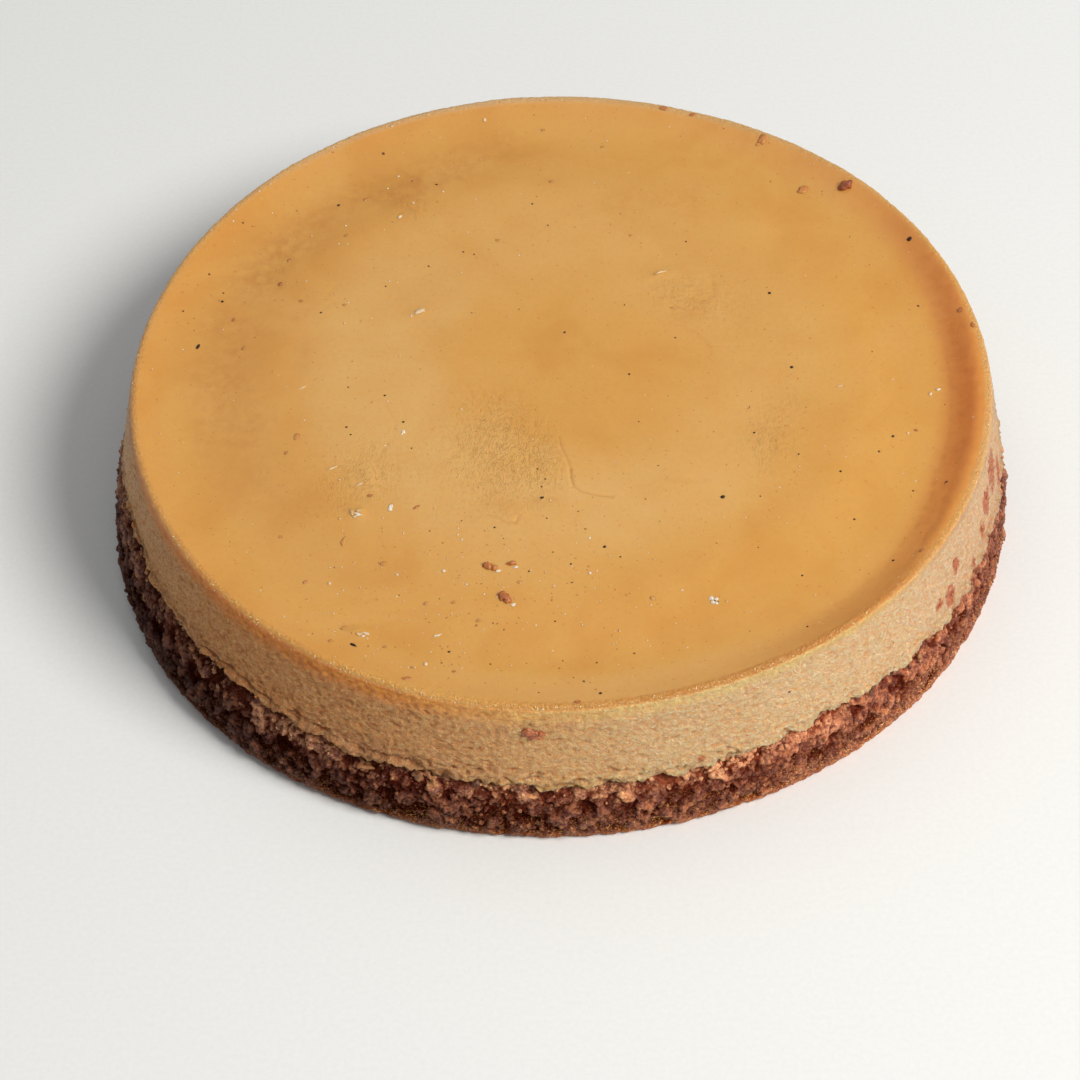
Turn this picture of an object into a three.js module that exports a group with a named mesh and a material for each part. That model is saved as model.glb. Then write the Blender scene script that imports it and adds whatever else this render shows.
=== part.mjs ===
// A chocoflan, turned out of its tin: a round chocolate sponge under a thick layer of set caramel custard.
// Millimetres, +Z up. The cake stands on z = 0, with the middle of its box over the origin.
import * as THREE from "three";

// Driving dimensions
const baseRadius = 120.4; // flat underside of the sponge
const bellyRadius = 123.2; // widest part of the sponge, a little above its underside
const seamRadius = 119.6; // where custard and sponge meet at the side
const crestRadius = 113.8; // top of the custard's raised rim
const dishRadius = 107.2; // foot of the rim's inner slope
const moatRadius = 95; // lowest ring of the dished top
const plateauRadius = 76; // edge of the slightly raised middle
const cakeHeight = 44; // crest of the rim above the table
const seamHeight = 18.3; // mean height of the joint between the layers
const rimDepth = 3.1; // crest of the rim above the lowest ring of the top
const plateauRise = 0.5; // middle of the top above that ring
const seamGap = 0.3; // clearance between the two layers
const segments = 96; // facets round the cake

// What makes the cake uneven: waves round it, each as turns, height and phase in degrees
const outlineWaves = [
  { turns: 2, height: 0.4, phase: 30 },
  { turns: 3, height: 0.3, phase: 115 },
  { turns: 5, height: 0.2, phase: 250 },
];
const seamWaves = [
  { turns: 2, height: 0.5, phase: 110 },
  { turns: 4, height: 0.7, phase: -10 },
  { turns: 9, height: 0.35, phase: 200 },
  { turns: 13, height: 0.3, phase: 75 },
];
const rimWaves = [
  { turns: 3, height: 0.18, phase: 20 },
  { turns: 7, height: 0.12, phase: 160 },
];

function wave(waves, angle) {
  let sum = 0;
  for (const { turns, height, phase } of waves) {
    sum += height * Math.sin(turns * angle + THREE.MathUtils.degToRad(phase));
  }
  return sum;
}

// A half profile from axis to axis, turned round Z, then moved point by point.
function turned(profile, move) {
  const points = profile.map(([radius, height]) => new THREE.Vector2(radius, height));
  const geometry = new THREE.LatheGeometry(points, segments);
  geometry.rotateX(Math.PI / 2);
  const places = geometry.getAttribute("position");
  for (let i = 0; i < places.count; i += 1) {
    const x = places.getX(i);
    const y = places.getY(i);
    const radius = Math.hypot(x, y);
    if (radius < 1e-6) continue;
    const moved = move(radius, Math.atan2(y, x), places.getZ(i));
    const share = moved.radius / radius;
    places.setXYZ(i, x * share, y * share, moved.height);
  }
  geometry.computeVertexNormals();
  return geometry;
}

// The outline's unevenness, which fades out towards the axis.
function uneven(radius, angle) {
  return radius + (wave(outlineWaves, angle) * radius) / baseRadius;
}

// Chocolate sponge: a flat underside, a rounded lower edge, a belly, and a top that waves at its edge.
function spongeGeometry() {
  const shoulder = seamHeight - 3.6; // from here up the side follows the waving joint
  const profile = [
    [0, 0],
    [70, 0],
    [baseRadius, 0],
    [baseRadius + 1.7, 0.9],
    [bellyRadius - 0.2, 2.6],
    [bellyRadius, 5.2],
    [bellyRadius - 0.6, 9.4],
    [bellyRadius - 1.9, shoulder],
    [seamRadius + 0.5, seamHeight - 1.1],
    [seamRadius - 1.2, seamHeight],
    [90, seamHeight],
    [45, seamHeight],
    [0, seamHeight],
  ];
  return turned(profile, (radius, angle, height) => {
    const share = THREE.MathUtils.smoothstep(height, shoulder - 4, seamHeight - 1);
    const reach = THREE.MathUtils.smoothstep(radius, 45, 100);
    return {
      radius: uneven(radius, angle),
      height: height + wave(seamWaves, angle) * share * reach,
    };
  });
}

// Set custard: a waving underside on the sponge, a sloping side, a raised rim and a shallow dished top.
function custardGeometry() {
  const bottom = seamHeight + seamGap;
  const moatHeight = cakeHeight - rimDepth;
  const profile = [
    [0, bottom],
    [45, bottom],
    [90, bottom],
    [seamRadius - 1.2, bottom],
    [seamRadius + 0.1, bottom + 0.9],
    [seamRadius - 0.6, bottom + 4.5],
    [seamRadius - 1.9, bottom + 11.5],
    [crestRadius + 2, cakeHeight - 6.5],
    [crestRadius + 1.3, cakeHeight - 1.8],
    [crestRadius + 0.7, cakeHeight - 0.5],
    [crestRadius, cakeHeight],
    [crestRadius - 1.4, cakeHeight - 0.3],
    [(crestRadius + dishRadius) / 2, cakeHeight - rimDepth * 0.55],
    [dishRadius, moatHeight + 0.35],
    [moatRadius, moatHeight],
    [plateauRadius, moatHeight + plateauRise],
    [38, moatHeight + plateauRise],
    [0, moatHeight + plateauRise],
  ];
  return turned(profile, (radius, angle, height) => {
    const low = 1 - THREE.MathUtils.smoothstep(height, bottom + 1, bottom + 10);
    const high = THREE.MathUtils.smoothstep(height, moatHeight, cakeHeight);
    const reach = THREE.MathUtils.smoothstep(radius, 45, 100);
    const lift = wave(seamWaves, angle) * low * reach + wave(rimWaves, angle) * high;
    return { radius: uneven(radius, angle), height: height + lift };
  });
}

function part(name, geometry, color, roughness) {
  const mesh = new THREE.Mesh(
    geometry,
    new THREE.MeshStandardMaterial({ color, roughness, metalness: 0 }),
  );
  mesh.name = name;
  return mesh;
}

const group = new THREE.Group();
group.add(part("sponge_base", spongeGeometry(), 0x70412e, 0.85));
group.add(part("custard_layer", custardGeometry(), 0xdaa15a, 0.4));

// The waves leave the box a little off centre, so the cake is slid back over the origin.
const middle = new THREE.Box3().setFromObject(group).getCenter(new THREE.Vector3());
group.position.set(-middle.x, -middle.y, 0);

export default group;
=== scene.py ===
import math
import random
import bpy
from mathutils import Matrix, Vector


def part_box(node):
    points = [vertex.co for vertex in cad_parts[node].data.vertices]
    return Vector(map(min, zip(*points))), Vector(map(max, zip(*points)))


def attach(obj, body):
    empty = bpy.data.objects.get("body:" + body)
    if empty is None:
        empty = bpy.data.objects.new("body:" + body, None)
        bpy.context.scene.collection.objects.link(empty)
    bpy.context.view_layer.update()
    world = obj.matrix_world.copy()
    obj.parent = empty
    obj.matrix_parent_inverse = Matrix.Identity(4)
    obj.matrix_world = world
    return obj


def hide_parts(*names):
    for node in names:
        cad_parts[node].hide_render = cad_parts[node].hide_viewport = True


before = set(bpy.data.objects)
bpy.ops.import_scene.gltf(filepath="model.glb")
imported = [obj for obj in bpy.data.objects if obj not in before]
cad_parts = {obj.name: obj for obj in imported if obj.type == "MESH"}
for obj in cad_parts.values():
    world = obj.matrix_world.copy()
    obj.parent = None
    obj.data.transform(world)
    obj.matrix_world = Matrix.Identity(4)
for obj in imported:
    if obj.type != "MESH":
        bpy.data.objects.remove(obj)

from types import SimpleNamespace

import bmesh
import bpy
from mathutils import Matrix, Vector, noise

mm = 0.001
noise.seed_set(1)  # the bending noise is the same in every run
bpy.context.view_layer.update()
spongeLow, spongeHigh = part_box("sponge_base")
custardLow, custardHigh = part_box("custard_layer")
print("frame loaded")

# the cake's main measures, in millimetres: the solids' own, less the room that the relief needs
belly = (spongeHigh.x - spongeLow.x) / 2 / mm - 0.2  # radius where the sponge is widest
seam = (spongeHigh.z + custardLow.z) / 2 / mm - 0.2  # height between the layers
crest = custardHigh.z / mm - 0.3  # height of the custard's rim
rim = (custardHigh.x - custardLow.x) / 2 / mm - 6.1  # radius of its crest
# waves round the cake: turns, height, phase in degrees
outlineWaves = [(2, 0.4, 30), (3, 0.3, 115), (5, 0.2, 250)]
seamWaves = [(2, 0.5, 110), (4, 0.7, -10), (9, 0.35, 200), (13, 0.3, 75)]
rimWaves = [(3, 0.18, 20), (7, 0.12, 160), (19, 0.05, 40), (31, 0.05, 310)]
# places where the sponge climbs or sinks at the side: degrees round, height, width in degrees
seamBumps = [(-58, 3.0, 2.2), (-65, 1.4, 3.0), (-72, 1.0, 3.5), (-97, 1.2, 2.5), (-34, -1.6, 3.0),
             (-20, 1.4, 3.5), (-161, 5.2, 13.0), (-157, 1.2, 1.6), (-148.5, 1.8, 2.2), (-144, -0.6, 1.5),
             (-125, 2.8, 15.0), (-115, -1.6, 2.0), (-105, 1.4, 7.0), (178, 1.6, 9.0), (35, 1.6, 3.0),
             (80, -1.4, 5.0), (118, 1.8, 4.0), (151, -1.0, 4.0)]
frontBulge = (-140, 2.5, 27)  # where the sponge stands out furthest: degrees round, depth, width
# painted light: the cake is coloured palest at the lit front right and brownest at the shaded front left
litSideBumps = [(-42, 0.5, 42), (-150, -0.45, 42)]


def wave(waves, angle):
    return sum(height * math.sin(turns * angle + math.radians(phase)) for turns, height, phase in waves)


def smoothStep(value, low, high):
    share = min(max((value - low) / (high - low), 0.0), 1.0)
    return share * share * (3 - 2 * share)


def away(angle, degrees):
    return abs((math.degrees(angle) - degrees + 180) % 360 - 180)


def bell(*offsets):
    # 1 in the middle, falling off smoothly; each offset is a distance over a half width
    return math.exp(-sum(offset ** 2 for offset in offsets))


def bumpsAt(angle, bumps):
    return sum(height * bell(away(angle, place) / width) for place, height, width in bumps)


def uneven(radius, angle):
    return radius * (1 + wave(outlineWaves, angle) / (belly - 2.8))


def seamHeight(angle):
    return seam + wave(seamWaves, angle) + bumpsAt(angle, seamBumps)


def litSideShare(angle):
    # painted light: near 1 on the lit front right, near 0 on the shaded front left
    return 0.5 + bumpsAt(angle, litSideBumps)


# the waves leave the outline a little off centre
ringAngles = [math.radians(degree) for degree in range(0, 360, 2)]
ringXs = [uneven(belly, a) * math.cos(a) for a in ringAngles]
ringYs = [uneven(belly, a) * math.sin(a) for a in ringAngles]
slide = Vector(((max(ringXs) + min(ringXs)) / 2, (max(ringYs) + min(ringYs)) / 2, 0))


def at(radius, angle, height):
    wide = uneven(radius, angle)
    return Vector((wide * math.cos(angle), wide * math.sin(angle), height)) - slide


def polar(x, y):
    angle = math.atan2(y + slide.y, x + slide.x)
    return math.hypot(x + slide.x, y + slide.y) / uneven(1, angle), angle


def curvePoint(points, share):
    # a smooth curve through a few points, by share of their count
    place = min(max(share, 0.0), 1.0) * (len(points) - 1)
    step = min(int(place), len(points) - 2)
    t = place - step
    before = points[max(step - 1, 0)]
    start = points[step]
    end = points[step + 1]
    after = points[min(step + 2, len(points) - 1)]
    return [
        0.5 * (2 * b + (c - a) * t + (2 * a - 5 * b + 4 * c - d) * t * t + (3 * b - a - 3 * c + d) * t ** 3)
        for a, b, c, d in zip(before, start, end, after)
    ]


def evenCurve(points, rows, steps=400):
    # the curve's points at even distances along it, found in many small steps
    fine = [Vector(curvePoint(points, i / steps)) for i in range(steps + 1)]
    lengths = [0.0]
    for a, b in zip(fine, fine[1:]):
        lengths.append(lengths[-1] + (b - a).length)
    spaced = []
    spot = 0
    for row in range(rows + 1):
        wanted = lengths[-1] * row / rows
        while spot < steps - 1 and lengths[spot + 1] < wanted:
            spot += 1
        part = (wanted - lengths[spot]) / max(lengths[spot + 1] - lengths[spot], 1e-9)
        spaced.append(fine[spot].lerp(fine[spot + 1], part))
    return spaced


def alongCurve(curve, row):
    row = min(max(row, 0), len(curve) - 1)
    step = min(int(row), len(curve) - 2)
    return curve[step].lerp(curve[step + 1], row - step)


def curveLength(curve):
    return sum((b - a).length for a, b in zip(curve, curve[1:]))


def addSleeve(bm, segments, rows, start):
    # a tube of radius 1 whose height counts its rows, to be laid along a profile afterwards
    made = bmesh.ops.create_grid(bm, x_segments=segments, y_segments=rows, size=0.5)["verts"]
    meeting = []  # the two sides of the grid that meet
    for vert in made:
        angle = (vert.co.x + 0.5) * 2 * math.pi
        if abs(vert.co.x) > 0.4999:
            meeting.append(vert)
        vert.co = Vector((math.cos(angle), math.sin(angle), start + (vert.co.y + 0.5) * rows))
    bmesh.ops.remove_doubles(bm, verts=meeting, dist=1e-4)


def openLoop(bm, height):
    # the edges of an open end, which all lie at one height
    edges = [edge for edge in bm.edges if len(edge.link_faces) == 1]
    return [edge for edge in edges if all(abs(vert.co.z - height) < 1e-4 for vert in edge.verts)]


def closeEnd(bm, height, radius, segments, drop):
    # a disc inside the open end, joined to it
    outer = openLoop(bm, height)
    disc = bmesh.ops.create_circle(bm, cap_ends=True, cap_tris=True, segments=segments, radius=radius,
                                   matrix=Matrix.Translation((0, 0, height + drop)))
    inner = {e for v in disc["verts"] for e in v.link_edges if len(e.link_faces) == 1}
    bmesh.ops.bridge_loops(bm, edges=outer + list(inner))


def addLayers(bm, *names):
    for name in names:
        bm.verts.layers.float.new(name)
    return [bm.verts.layers.float[name] for name in names]


def writePiece(bm, name, material, smooth=True):
    bmesh.ops.recalc_face_normals(bm, faces=bm.faces)
    mesh = bpy.data.meshes.new(name)
    bm.to_mesh(mesh)
    bm.free()
    mesh.materials.append(material)
    mesh.polygons.foreach_set("use_smooth", [smooth] * len(mesh.polygons))
    piece = bpy.data.objects.new(name, mesh)
    bpy.context.scene.collection.objects.link(piece)
    return piece


def register(piece, slot, *nodes):
    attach(piece, "root")
    if nodes:
        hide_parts(*nodes)
    print(piece.name, sum(len(face.vertices) - 2 for face in piece.data.polygons), "triangles")


def turnShare(spot):
    return (math.atan2(spot.y, spot.x) / (2 * math.pi)) % 1.0


def stripMap(bm, along, strips, length, gap=1.0):
    # the side unrolled in stacked strips, a gap apart; the two end discs go small above them
    uv = bm.loops.layers.uv.new("OFBake")
    around = 2 * math.pi * belly
    side = around / strips * 1.01  # width of the whole map in millimetres
    pitch = length + gap
    discRadius = (side - strips * pitch) * 0.45
    reach = belly * mm * 1.05
    for face in bm.faces:
        turn = turnShare(face.calc_center_median())
        strip = min(int(turn * strips), strips - 1)
        middle = sum(loop.vert[along] for loop in face.loops) / len(face.loops)
        for loop in face.loops:
            spot = loop.vert.co
            if 0 <= middle <= length:
                own = turnShare(spot)
                own += round(turn - own)  # a face across the back keeps its corners together
                x = (own * strips - strip) * around / strips + gap / 2
                y = loop.vert[along] + strip * pitch + gap / 2
            else:
                second = 0 if middle < 0 else 2.2 * discRadius
                x = discRadius * (1 + spot.x / reach) + second + gap / 2
                y = discRadius * (1 + spot.y / reach) + strips * pitch
            loop[uv].uv = (x / side, y / side)


def layDisc(vert, along, curve, row, angle, length, sunk=0.0):
    # the discs that close a layer's ends lie inside the first and last rows of its curve
    below = row < 0
    radius, height = curve[0] if below else curve[-1]
    vert[along] = -10 if below else length + 10
    vert.co = at(radius * vert.co.xy.length, angle, height if below else height - sunk) * mm


def addLump(bm, draw, place, size, facing, level, rough):
    # one crumb or speck: a small ball pushed out of round and laid on the surface
    if level == 0:
        made = bmesh.ops.create_uvsphere(bm, u_segments=7, v_segments=5, radius=1)["verts"]
    else:
        made = bmesh.ops.create_icosphere(bm, subdivisions=level, radius=1)["verts"]
    seed = Vector([draw.uniform(-50, 50) for _ in range(3)])
    for vert in made:
        coarse = noise.noise(vert.co * 1.2 + seed)
        fine = noise.noise(vert.co * 2.7 + seed)
        push = 1 + rough * (1.6 * coarse + 0.9 * fine)
        local = Vector([a * b * push / 2 for a, b in zip(vert.co, size)])
        spot = place + facing @ local
        vert.co = Vector((spot.x, spot.y, max(spot.z, 0))) * mm
    return made


def facingOut(normal, turn):
    # lies flat on the surface, turned in its own plane
    return normal.to_track_quat("Z", "X").to_matrix() @ Matrix.Rotation(math.radians(turn), 3, "Z")


def makeLumps(name, material, slot, draw, layerNames, lumps, batchSize=40):
    # lumps: place, size, facing, level, rough, layer values; built in small batches, which is quicker
    whole = bmesh.new()
    addLayers(whole, *layerNames)
    for start in range(0, len(lumps), batchSize):
        part = bmesh.new()
        layers = addLayers(part, *layerNames)
        for place, size, facing, level, rough, values in lumps[start:start + batchSize]:
            for vert in addLump(part, draw, place, size, facing, level, rough):
                for layer, value in zip(layers, values):
                    vert[layer] = value
        batch = bpy.data.meshes.new("batch")
        part.to_mesh(batch)
        part.free()
        whole.from_mesh(batch)
        bpy.data.meshes.remove(batch)
    register(writePiece(whole, name, material), slot)


# material helpers

def newMaterial(name):
    material = bpy.data.materials.new(name)
    material.use_nodes = True
    tree = material.node_tree
    shader = tree.nodes["Principled BSDF"]
    return material, tree, shader


def addNode(tree, kind, inputs=None, **settings):
    made = tree.nodes.new(kind)
    for key, value in settings.items():
        setattr(made, key, value)
    for key, value in (inputs or {}).items():
        if isinstance(value, bpy.types.NodeSocket):
            tree.links.new(value, made.inputs[key])
        else:
            made.inputs[key].default_value = value
    return made


def objectSpace(tree, stretch=(1, 1, 1)):
    # object coordinates in millimetres
    coordinates = addNode(tree, "ShaderNodeTexCoord").outputs["Object"]
    scale = [share / mm for share in stretch]
    return addNode(tree, "ShaderNodeMapping", {"Vector": coordinates, "Scale": scale}).outputs[0]


def splitSpace(tree, space):
    return addNode(tree, "ShaderNodeSeparateXYZ", {"Vector": space}).outputs


def slantSpace(tree, slant, squash):
    # millimetres, with the height sloped across the front and squashed
    x, y, z = splitSpace(tree, objectSpace(tree))
    height = times(tree, plus(tree, z, times(tree, x, slant)), squash)
    return addNode(tree, "ShaderNodeCombineXYZ", {"X": x, "Y": y, "Z": height}).outputs[0]


def noiseField(tree, space, size, detail=3.0, roughness=0.55, warp=0.0):
    return addNode(tree, "ShaderNodeTexNoise", {"Vector": space, "Scale": 1 / size, "Detail": detail,
                                               "Roughness": roughness, "Distortion": warp}).outputs["Fac"]


def cellField(tree, space, size, output="Distance"):
    inputs = {"Vector": space, "Scale": 1 / size, "Randomness": 1.0}
    return addNode(tree, "ShaderNodeTexVoronoi", inputs, feature="F1").outputs[output]


def ramp(tree, value, *stops):
    made = addNode(tree, "ShaderNodeValToRGB", {"Fac": value})
    elements = made.color_ramp.elements
    while len(elements) < len(stops):
        elements.new(0.5)
    for element, (position, color) in zip(elements, stops):
        element.position = position
        element.color = (*color, 1)
    return made.outputs["Color"]


def between(tree, value, low, high, out=(0.0, 1.0)):
    return addNode(tree, "ShaderNodeMapRange", {"Value": value, "From Min": low, "From Max": high,
                                               "To Min": out[0], "To Max": out[1]}).outputs["Result"]


def math2(tree, operation, a, b):
    return addNode(tree, "ShaderNodeMath", {0: a, 1: b}, operation=operation).outputs[0]


def plus(tree, a, b):
    return math2(tree, "ADD", a, b)


def minus(tree, a, b):
    return math2(tree, "SUBTRACT", a, b)


def times(tree, a, b):
    return math2(tree, "MULTIPLY", a, b)


def mixColor(tree, share, a, b, blend="MIX"):
    made = addNode(tree, "ShaderNodeMix", data_type="RGBA", blend_type=blend)
    for socket, value in ((made.inputs[0], share), (made.inputs[6], a), (made.inputs[7], b)):
        if isinstance(value, bpy.types.NodeSocket):
            tree.links.new(value, socket)
        elif isinstance(value, (int, float)):
            socket.default_value = value
        else:
            socket.default_value = (*value, 1)
    return made.outputs[2]


def timesColor(tree, a, b):
    return mixColor(tree, 1.0, a, b, "MULTIPLY")


def addBump(tree, shader, height, strength, distance):
    inputs = {"Height": height, "Strength": strength, "Distance": distance * mm}
    bump = addNode(tree, "ShaderNodeBump", inputs)
    tree.links.new(bump.outputs["Normal"], shader.inputs["Normal"])


def attribute(tree, name):
    return addNode(tree, "ShaderNodeAttribute", attribute_name=name).outputs["Fac"]


def setSurface(shader, roughness, specular, soft=0.0, softRadius=(1, 0.5, 0.25), softScale=0.002):
    shader.inputs["Roughness"].default_value = roughness
    shader.inputs["Specular IOR Level"].default_value = specular
    shader.inputs["Subsurface Weight"].default_value = soft
    shader.inputs["Subsurface Radius"].default_value = softRadius
    shader.inputs["Subsurface Scale"].default_value = softScale


# camera, light and floor
view = {
    "aim": Vector((-6.27, -22.46, 0)) * mm,
    "distance": 731.9 * mm,
    "elevation": 48.76,  # degrees above the floor
    "roll": -0.99,
    "lens": 88.6,
}
light = {
    "key": dict(azimuth=-30, elevation=46, distance=1.9, size=0.9, power=36.5, color=(1.0, 0.985, 0.96)),
    "fill": dict(azimuth=120, elevation=60, distance=2.2, size=1.6, power=3.8, color=(0.96, 0.98, 1.0)),
    "sky": (0.95, 0.97, 1.0),
    "skyStrength": 0.30,
}


def addCamera():
    data = bpy.data.cameras.new("camera")
    data.lens = view["lens"]
    data.sensor_width = 36
    camera = bpy.data.objects.new("camera", data)
    bpy.context.scene.collection.objects.link(camera)
    turn = Matrix.Rotation(math.radians(90 - view["elevation"]), 4, "X")
    turn @= Matrix.Rotation(math.radians(view["roll"]), 4, "Z")
    back = turn.to_3x3() @ Vector((0, 0, view["distance"]))
    camera.matrix_world = Matrix.Translation(view["aim"] + back) @ turn
    bpy.context.scene.camera = camera


def addAreaLight(name, azimuth, elevation, distance, size, power, color):
    data = bpy.data.lights.new(name, "AREA")
    data.shape = "DISK"
    data.size = size
    data.energy = power
    data.color = color
    lamp = bpy.data.objects.new(name, data)
    bpy.context.scene.collection.objects.link(lamp)
    side = math.radians(azimuth)
    lift = math.radians(elevation)
    towards = Vector((math.cos(side) * math.cos(lift), math.sin(side) * math.cos(lift), math.sin(lift)))
    lamp.location = towards * distance
    lamp.rotation_euler = towards.to_track_quat("Z", "Y").to_euler()


def addLight():
    addAreaLight("keyLight", **light["key"])
    addAreaLight("fillLight", **light["fill"])
    world = bpy.data.worlds.new("softRoom")
    world.use_nodes = True
    background = world.node_tree.nodes["Background"]
    background.inputs["Color"].default_value = (*light["sky"], 1)
    background.inputs["Strength"].default_value = light["skyStrength"]
    bpy.context.scene.world = world
    bpy.context.scene.view_settings.view_transform = "Standard"


def addFloor():
    material, tree, shader = newMaterial("paleFloor")
    space = objectSpace(tree)
    grain = noiseField(tree, space, 1.3, 2)
    tree.links.new(ramp(tree, grain, (0.3, (0.80, 0.80, 0.775)), (0.7, (0.83, 0.83, 0.805))),
                   shader.inputs["Base Color"])
    setSurface(shader, 0.85, 0.2)
    bm = bmesh.new()
    bmesh.ops.create_grid(bm, x_segments=4, y_segments=4, size=3)
    floor = writePiece(bm, "floor", material)


addCamera()
addLight()
addFloor()
print("camera, light and floor")

# chocolate sponge: sizes and depths of its crumb, in millimetres, and its colours
sponge = {
    "segments": 1860,
    "rows": 52,
    "strips": 5,
    "octaves": [(3.8, 0.62), (1.8, 0.46), (0.95, 0.26)],  # size and height of the lumps
    "swell": 0.45,
    "hole": 3.6,
    "holeDepth": 1.2,
    "footRows": 5,  # the ragged lower edge
    "footDepth": 0.5,
    "footLift": 0.6,
    "redDepth": 6.5,  # how far down from the seam the reddish crumb lies
    "looseCrumbs": 1100,
    "tongueCrumbs": 90,
    # colours by the height of the fine grain
    "moist": [(0.30, (0.045, 0.0075, 0.0055)), (0.47, (0.118, 0.030, 0.022)),
              (0.60, (0.215, 0.085, 0.061)), (0.75, (0.38, 0.20, 0.145))],
    "dry": [(0.30, (0.13, 0.020, 0.008)), (0.47, (0.28, 0.088, 0.042)),
            (0.60, (0.40, 0.180, 0.098)), (0.75, (0.52, 0.30, 0.18))],
    "reddish": [(0.3, (0.24, 0.075, 0.046)), (0.5, (0.46, 0.20, 0.12)), (0.7, (0.66, 0.37, 0.235))],
    "crust": [(0.34, (0.11, 0.016, 0.005)), (0.50, (0.30, 0.068, 0.016)), (0.66, (0.62, 0.24, 0.062))],
    "darkCrumb": (0.05, 0.012, 0.009),
    "paleCrumb": (0.42, 0.20, 0.11),
    # golden ticks: painted reflection
    "golden": (0.78, 0.46, 0.155),
    # what the colours are multiplied by: painted shade in the holes, painted light on the lumps and on the
    # ledge under the custard, painted light on the lit side and painted shade on the shaded side
    "shadeInHoles": (0.37, 0.19, 0.17),
    "lightOnLumps": (1.1, 1.05, 1.03),
    # painted light on the ledge under the custard
    "litLedge": (2.5, 3.4, 3.4),
    # painted shade on the shaded side and painted light on the lit side
    "shadedSide": (0.46, 0.38, 0.34),
    "litSide": (2.42, 2.28, 1.80),
}
# its outline from the floor to the seam: radius, height
spongeOutline = [(belly - 2.3, 0.0), (belly - 0.9, 0.7), (belly - 0.2, 2.4), (belly, 5.2),
                 (belly - 0.6, 9.4), (belly - 1.8, 13.6), (belly - 3.2, seam - 1.2),
                 (belly - 5.6, seam - 0.1)]
spongeCurve = evenCurve(spongeOutline, sponge["rows"])
# places where pale, reddish crumb lies along the seam: degrees round, strength, width in degrees
redPatches = [(-58, 1.0, 4.5), (-68, 0.9, 7), (-78, 0.6, 4), (-88, 0.35, 3), (-98, 0.35, 3), (-30, 0.5, 10),
              (-12, 0.5, 7), (25, 0.5, 8), (70, 0.4, 10), (115, 0.5, 9), (165, 0.4, 8), (-126, 0.55, 7),
              (-144, 0.45, 4), (-158, 0.2, 5)]


def domes(spot, size):
    # round lumps side by side, each set in or out by chance
    near, points = noise.voronoi(spot / size)
    dome = 1 - 2.2 * near[0] * near[0]
    gap = smoothStep(near[1] - near[0], 0.0, 0.25)
    chance = noise.cell(points[0] * 31.7)
    return 0.5 * dome * gap + 0.35 * gap + 0.7 * (chance - 0.5) - 0.4


def crumbRelief(spot, fine):
    # finer crumb where the last share is 1
    bent = spot + 0.9 * noise.noise_vector(spot / 2.9) + 0.4 * noise.noise_vector(spot / 0.9)
    scales = (1 - 0.6 * fine, 1.0, 1 + 0.5 * fine)
    lumps = sum(scale * height * domes(bent + Vector((size * 9, 4, 2)), size)
                for scale, (size, height) in zip(scales, sponge["octaves"]))
    swell = sponge["swell"] * noise.fractal(spot / 7.0, 0.9, 2.1, 3)
    hole = smoothStep(noise.noise(bent / sponge["hole"] + Vector((7, 3, 5))), 0.26, 0.5)
    return lumps + swell - sponge["holeDepth"] * hole


def spongePoint(angle, row):
    # the crumb's surface: its place, its relief and its height on the smooth side
    radius, height = alongCurve(spongeCurve, row)
    height += (seamHeight(angle) - seam) * smoothStep(height, seam - 8, seam - 1)
    spot = at(radius, angle, height)
    pale = litSideShare(angle)
    foot = smoothStep(row, 0, sponge["footRows"])
    relief = crumbRelief(spot, smoothStep(pale, 0.7, 0.95)) * (0.4 + 0.6 * smoothStep(row, 4, 16))
    relief *= 1 - 0.15 * smoothStep(pale, 0.75, 1.0)
    relief -= sponge["footDepth"] * (1 - foot) * (0.5 + noise.noise(spot / 2.2))
    lift = sponge["footLift"] * noise.noise(spot / 1.6 + Vector((5, 2, 8))) * foot
    bulge = bumpsAt(angle, [frontBulge]) * (1 - 0.35 * smoothStep(height, 8, seam))
    return at(radius + bulge + relief, angle, max(height + lift, 0.0)), relief, height


def redShare(angle, height):
    low = seam - sponge["redDepth"]
    return min(bumpsAt(angle, redPatches), 1.0) * smoothStep(height, low, low + 4)


def crumbColor(tree, grain, lumps, tinted):
    # moist purplish crumb with drier, warmer lumps, with painted shade in its holes and painted light on its
    # lumps
    relief = attribute(tree, "relief")
    raised = plus(tree, times(tree, relief, 0.16), lumps)
    color = mixColor(tree, between(tree, raised, 0.40, 0.60), ramp(tree, grain, *sponge["moist"]),
                     ramp(tree, grain, *sponge["dry"]))
    if tinted:
        tint = attribute(tree, "tint")
        color = mixColor(tree, between(tree, tint, 0.0, 0.6, (0.5, 0.0)), color, sponge["darkCrumb"])
        color = mixColor(tree, between(tree, tint, 0.7, 1.0, (0.0, 0.35)), color, sponge["paleCrumb"])
    redCover = times(tree, attribute(tree, "red"), between(tree, lumps, 0.34, 0.52))
    color = mixColor(tree, redCover, color, ramp(tree, grain, *sponge["reddish"]))
    # painted shade in the crumb's holes and painted light on its lumps
    depth = mixColor(tree, between(tree, relief, -1.0, 0.1), sponge["shadeInHoles"], sponge["lightOnLumps"])
    return timesColor(tree, color, depth)


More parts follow.
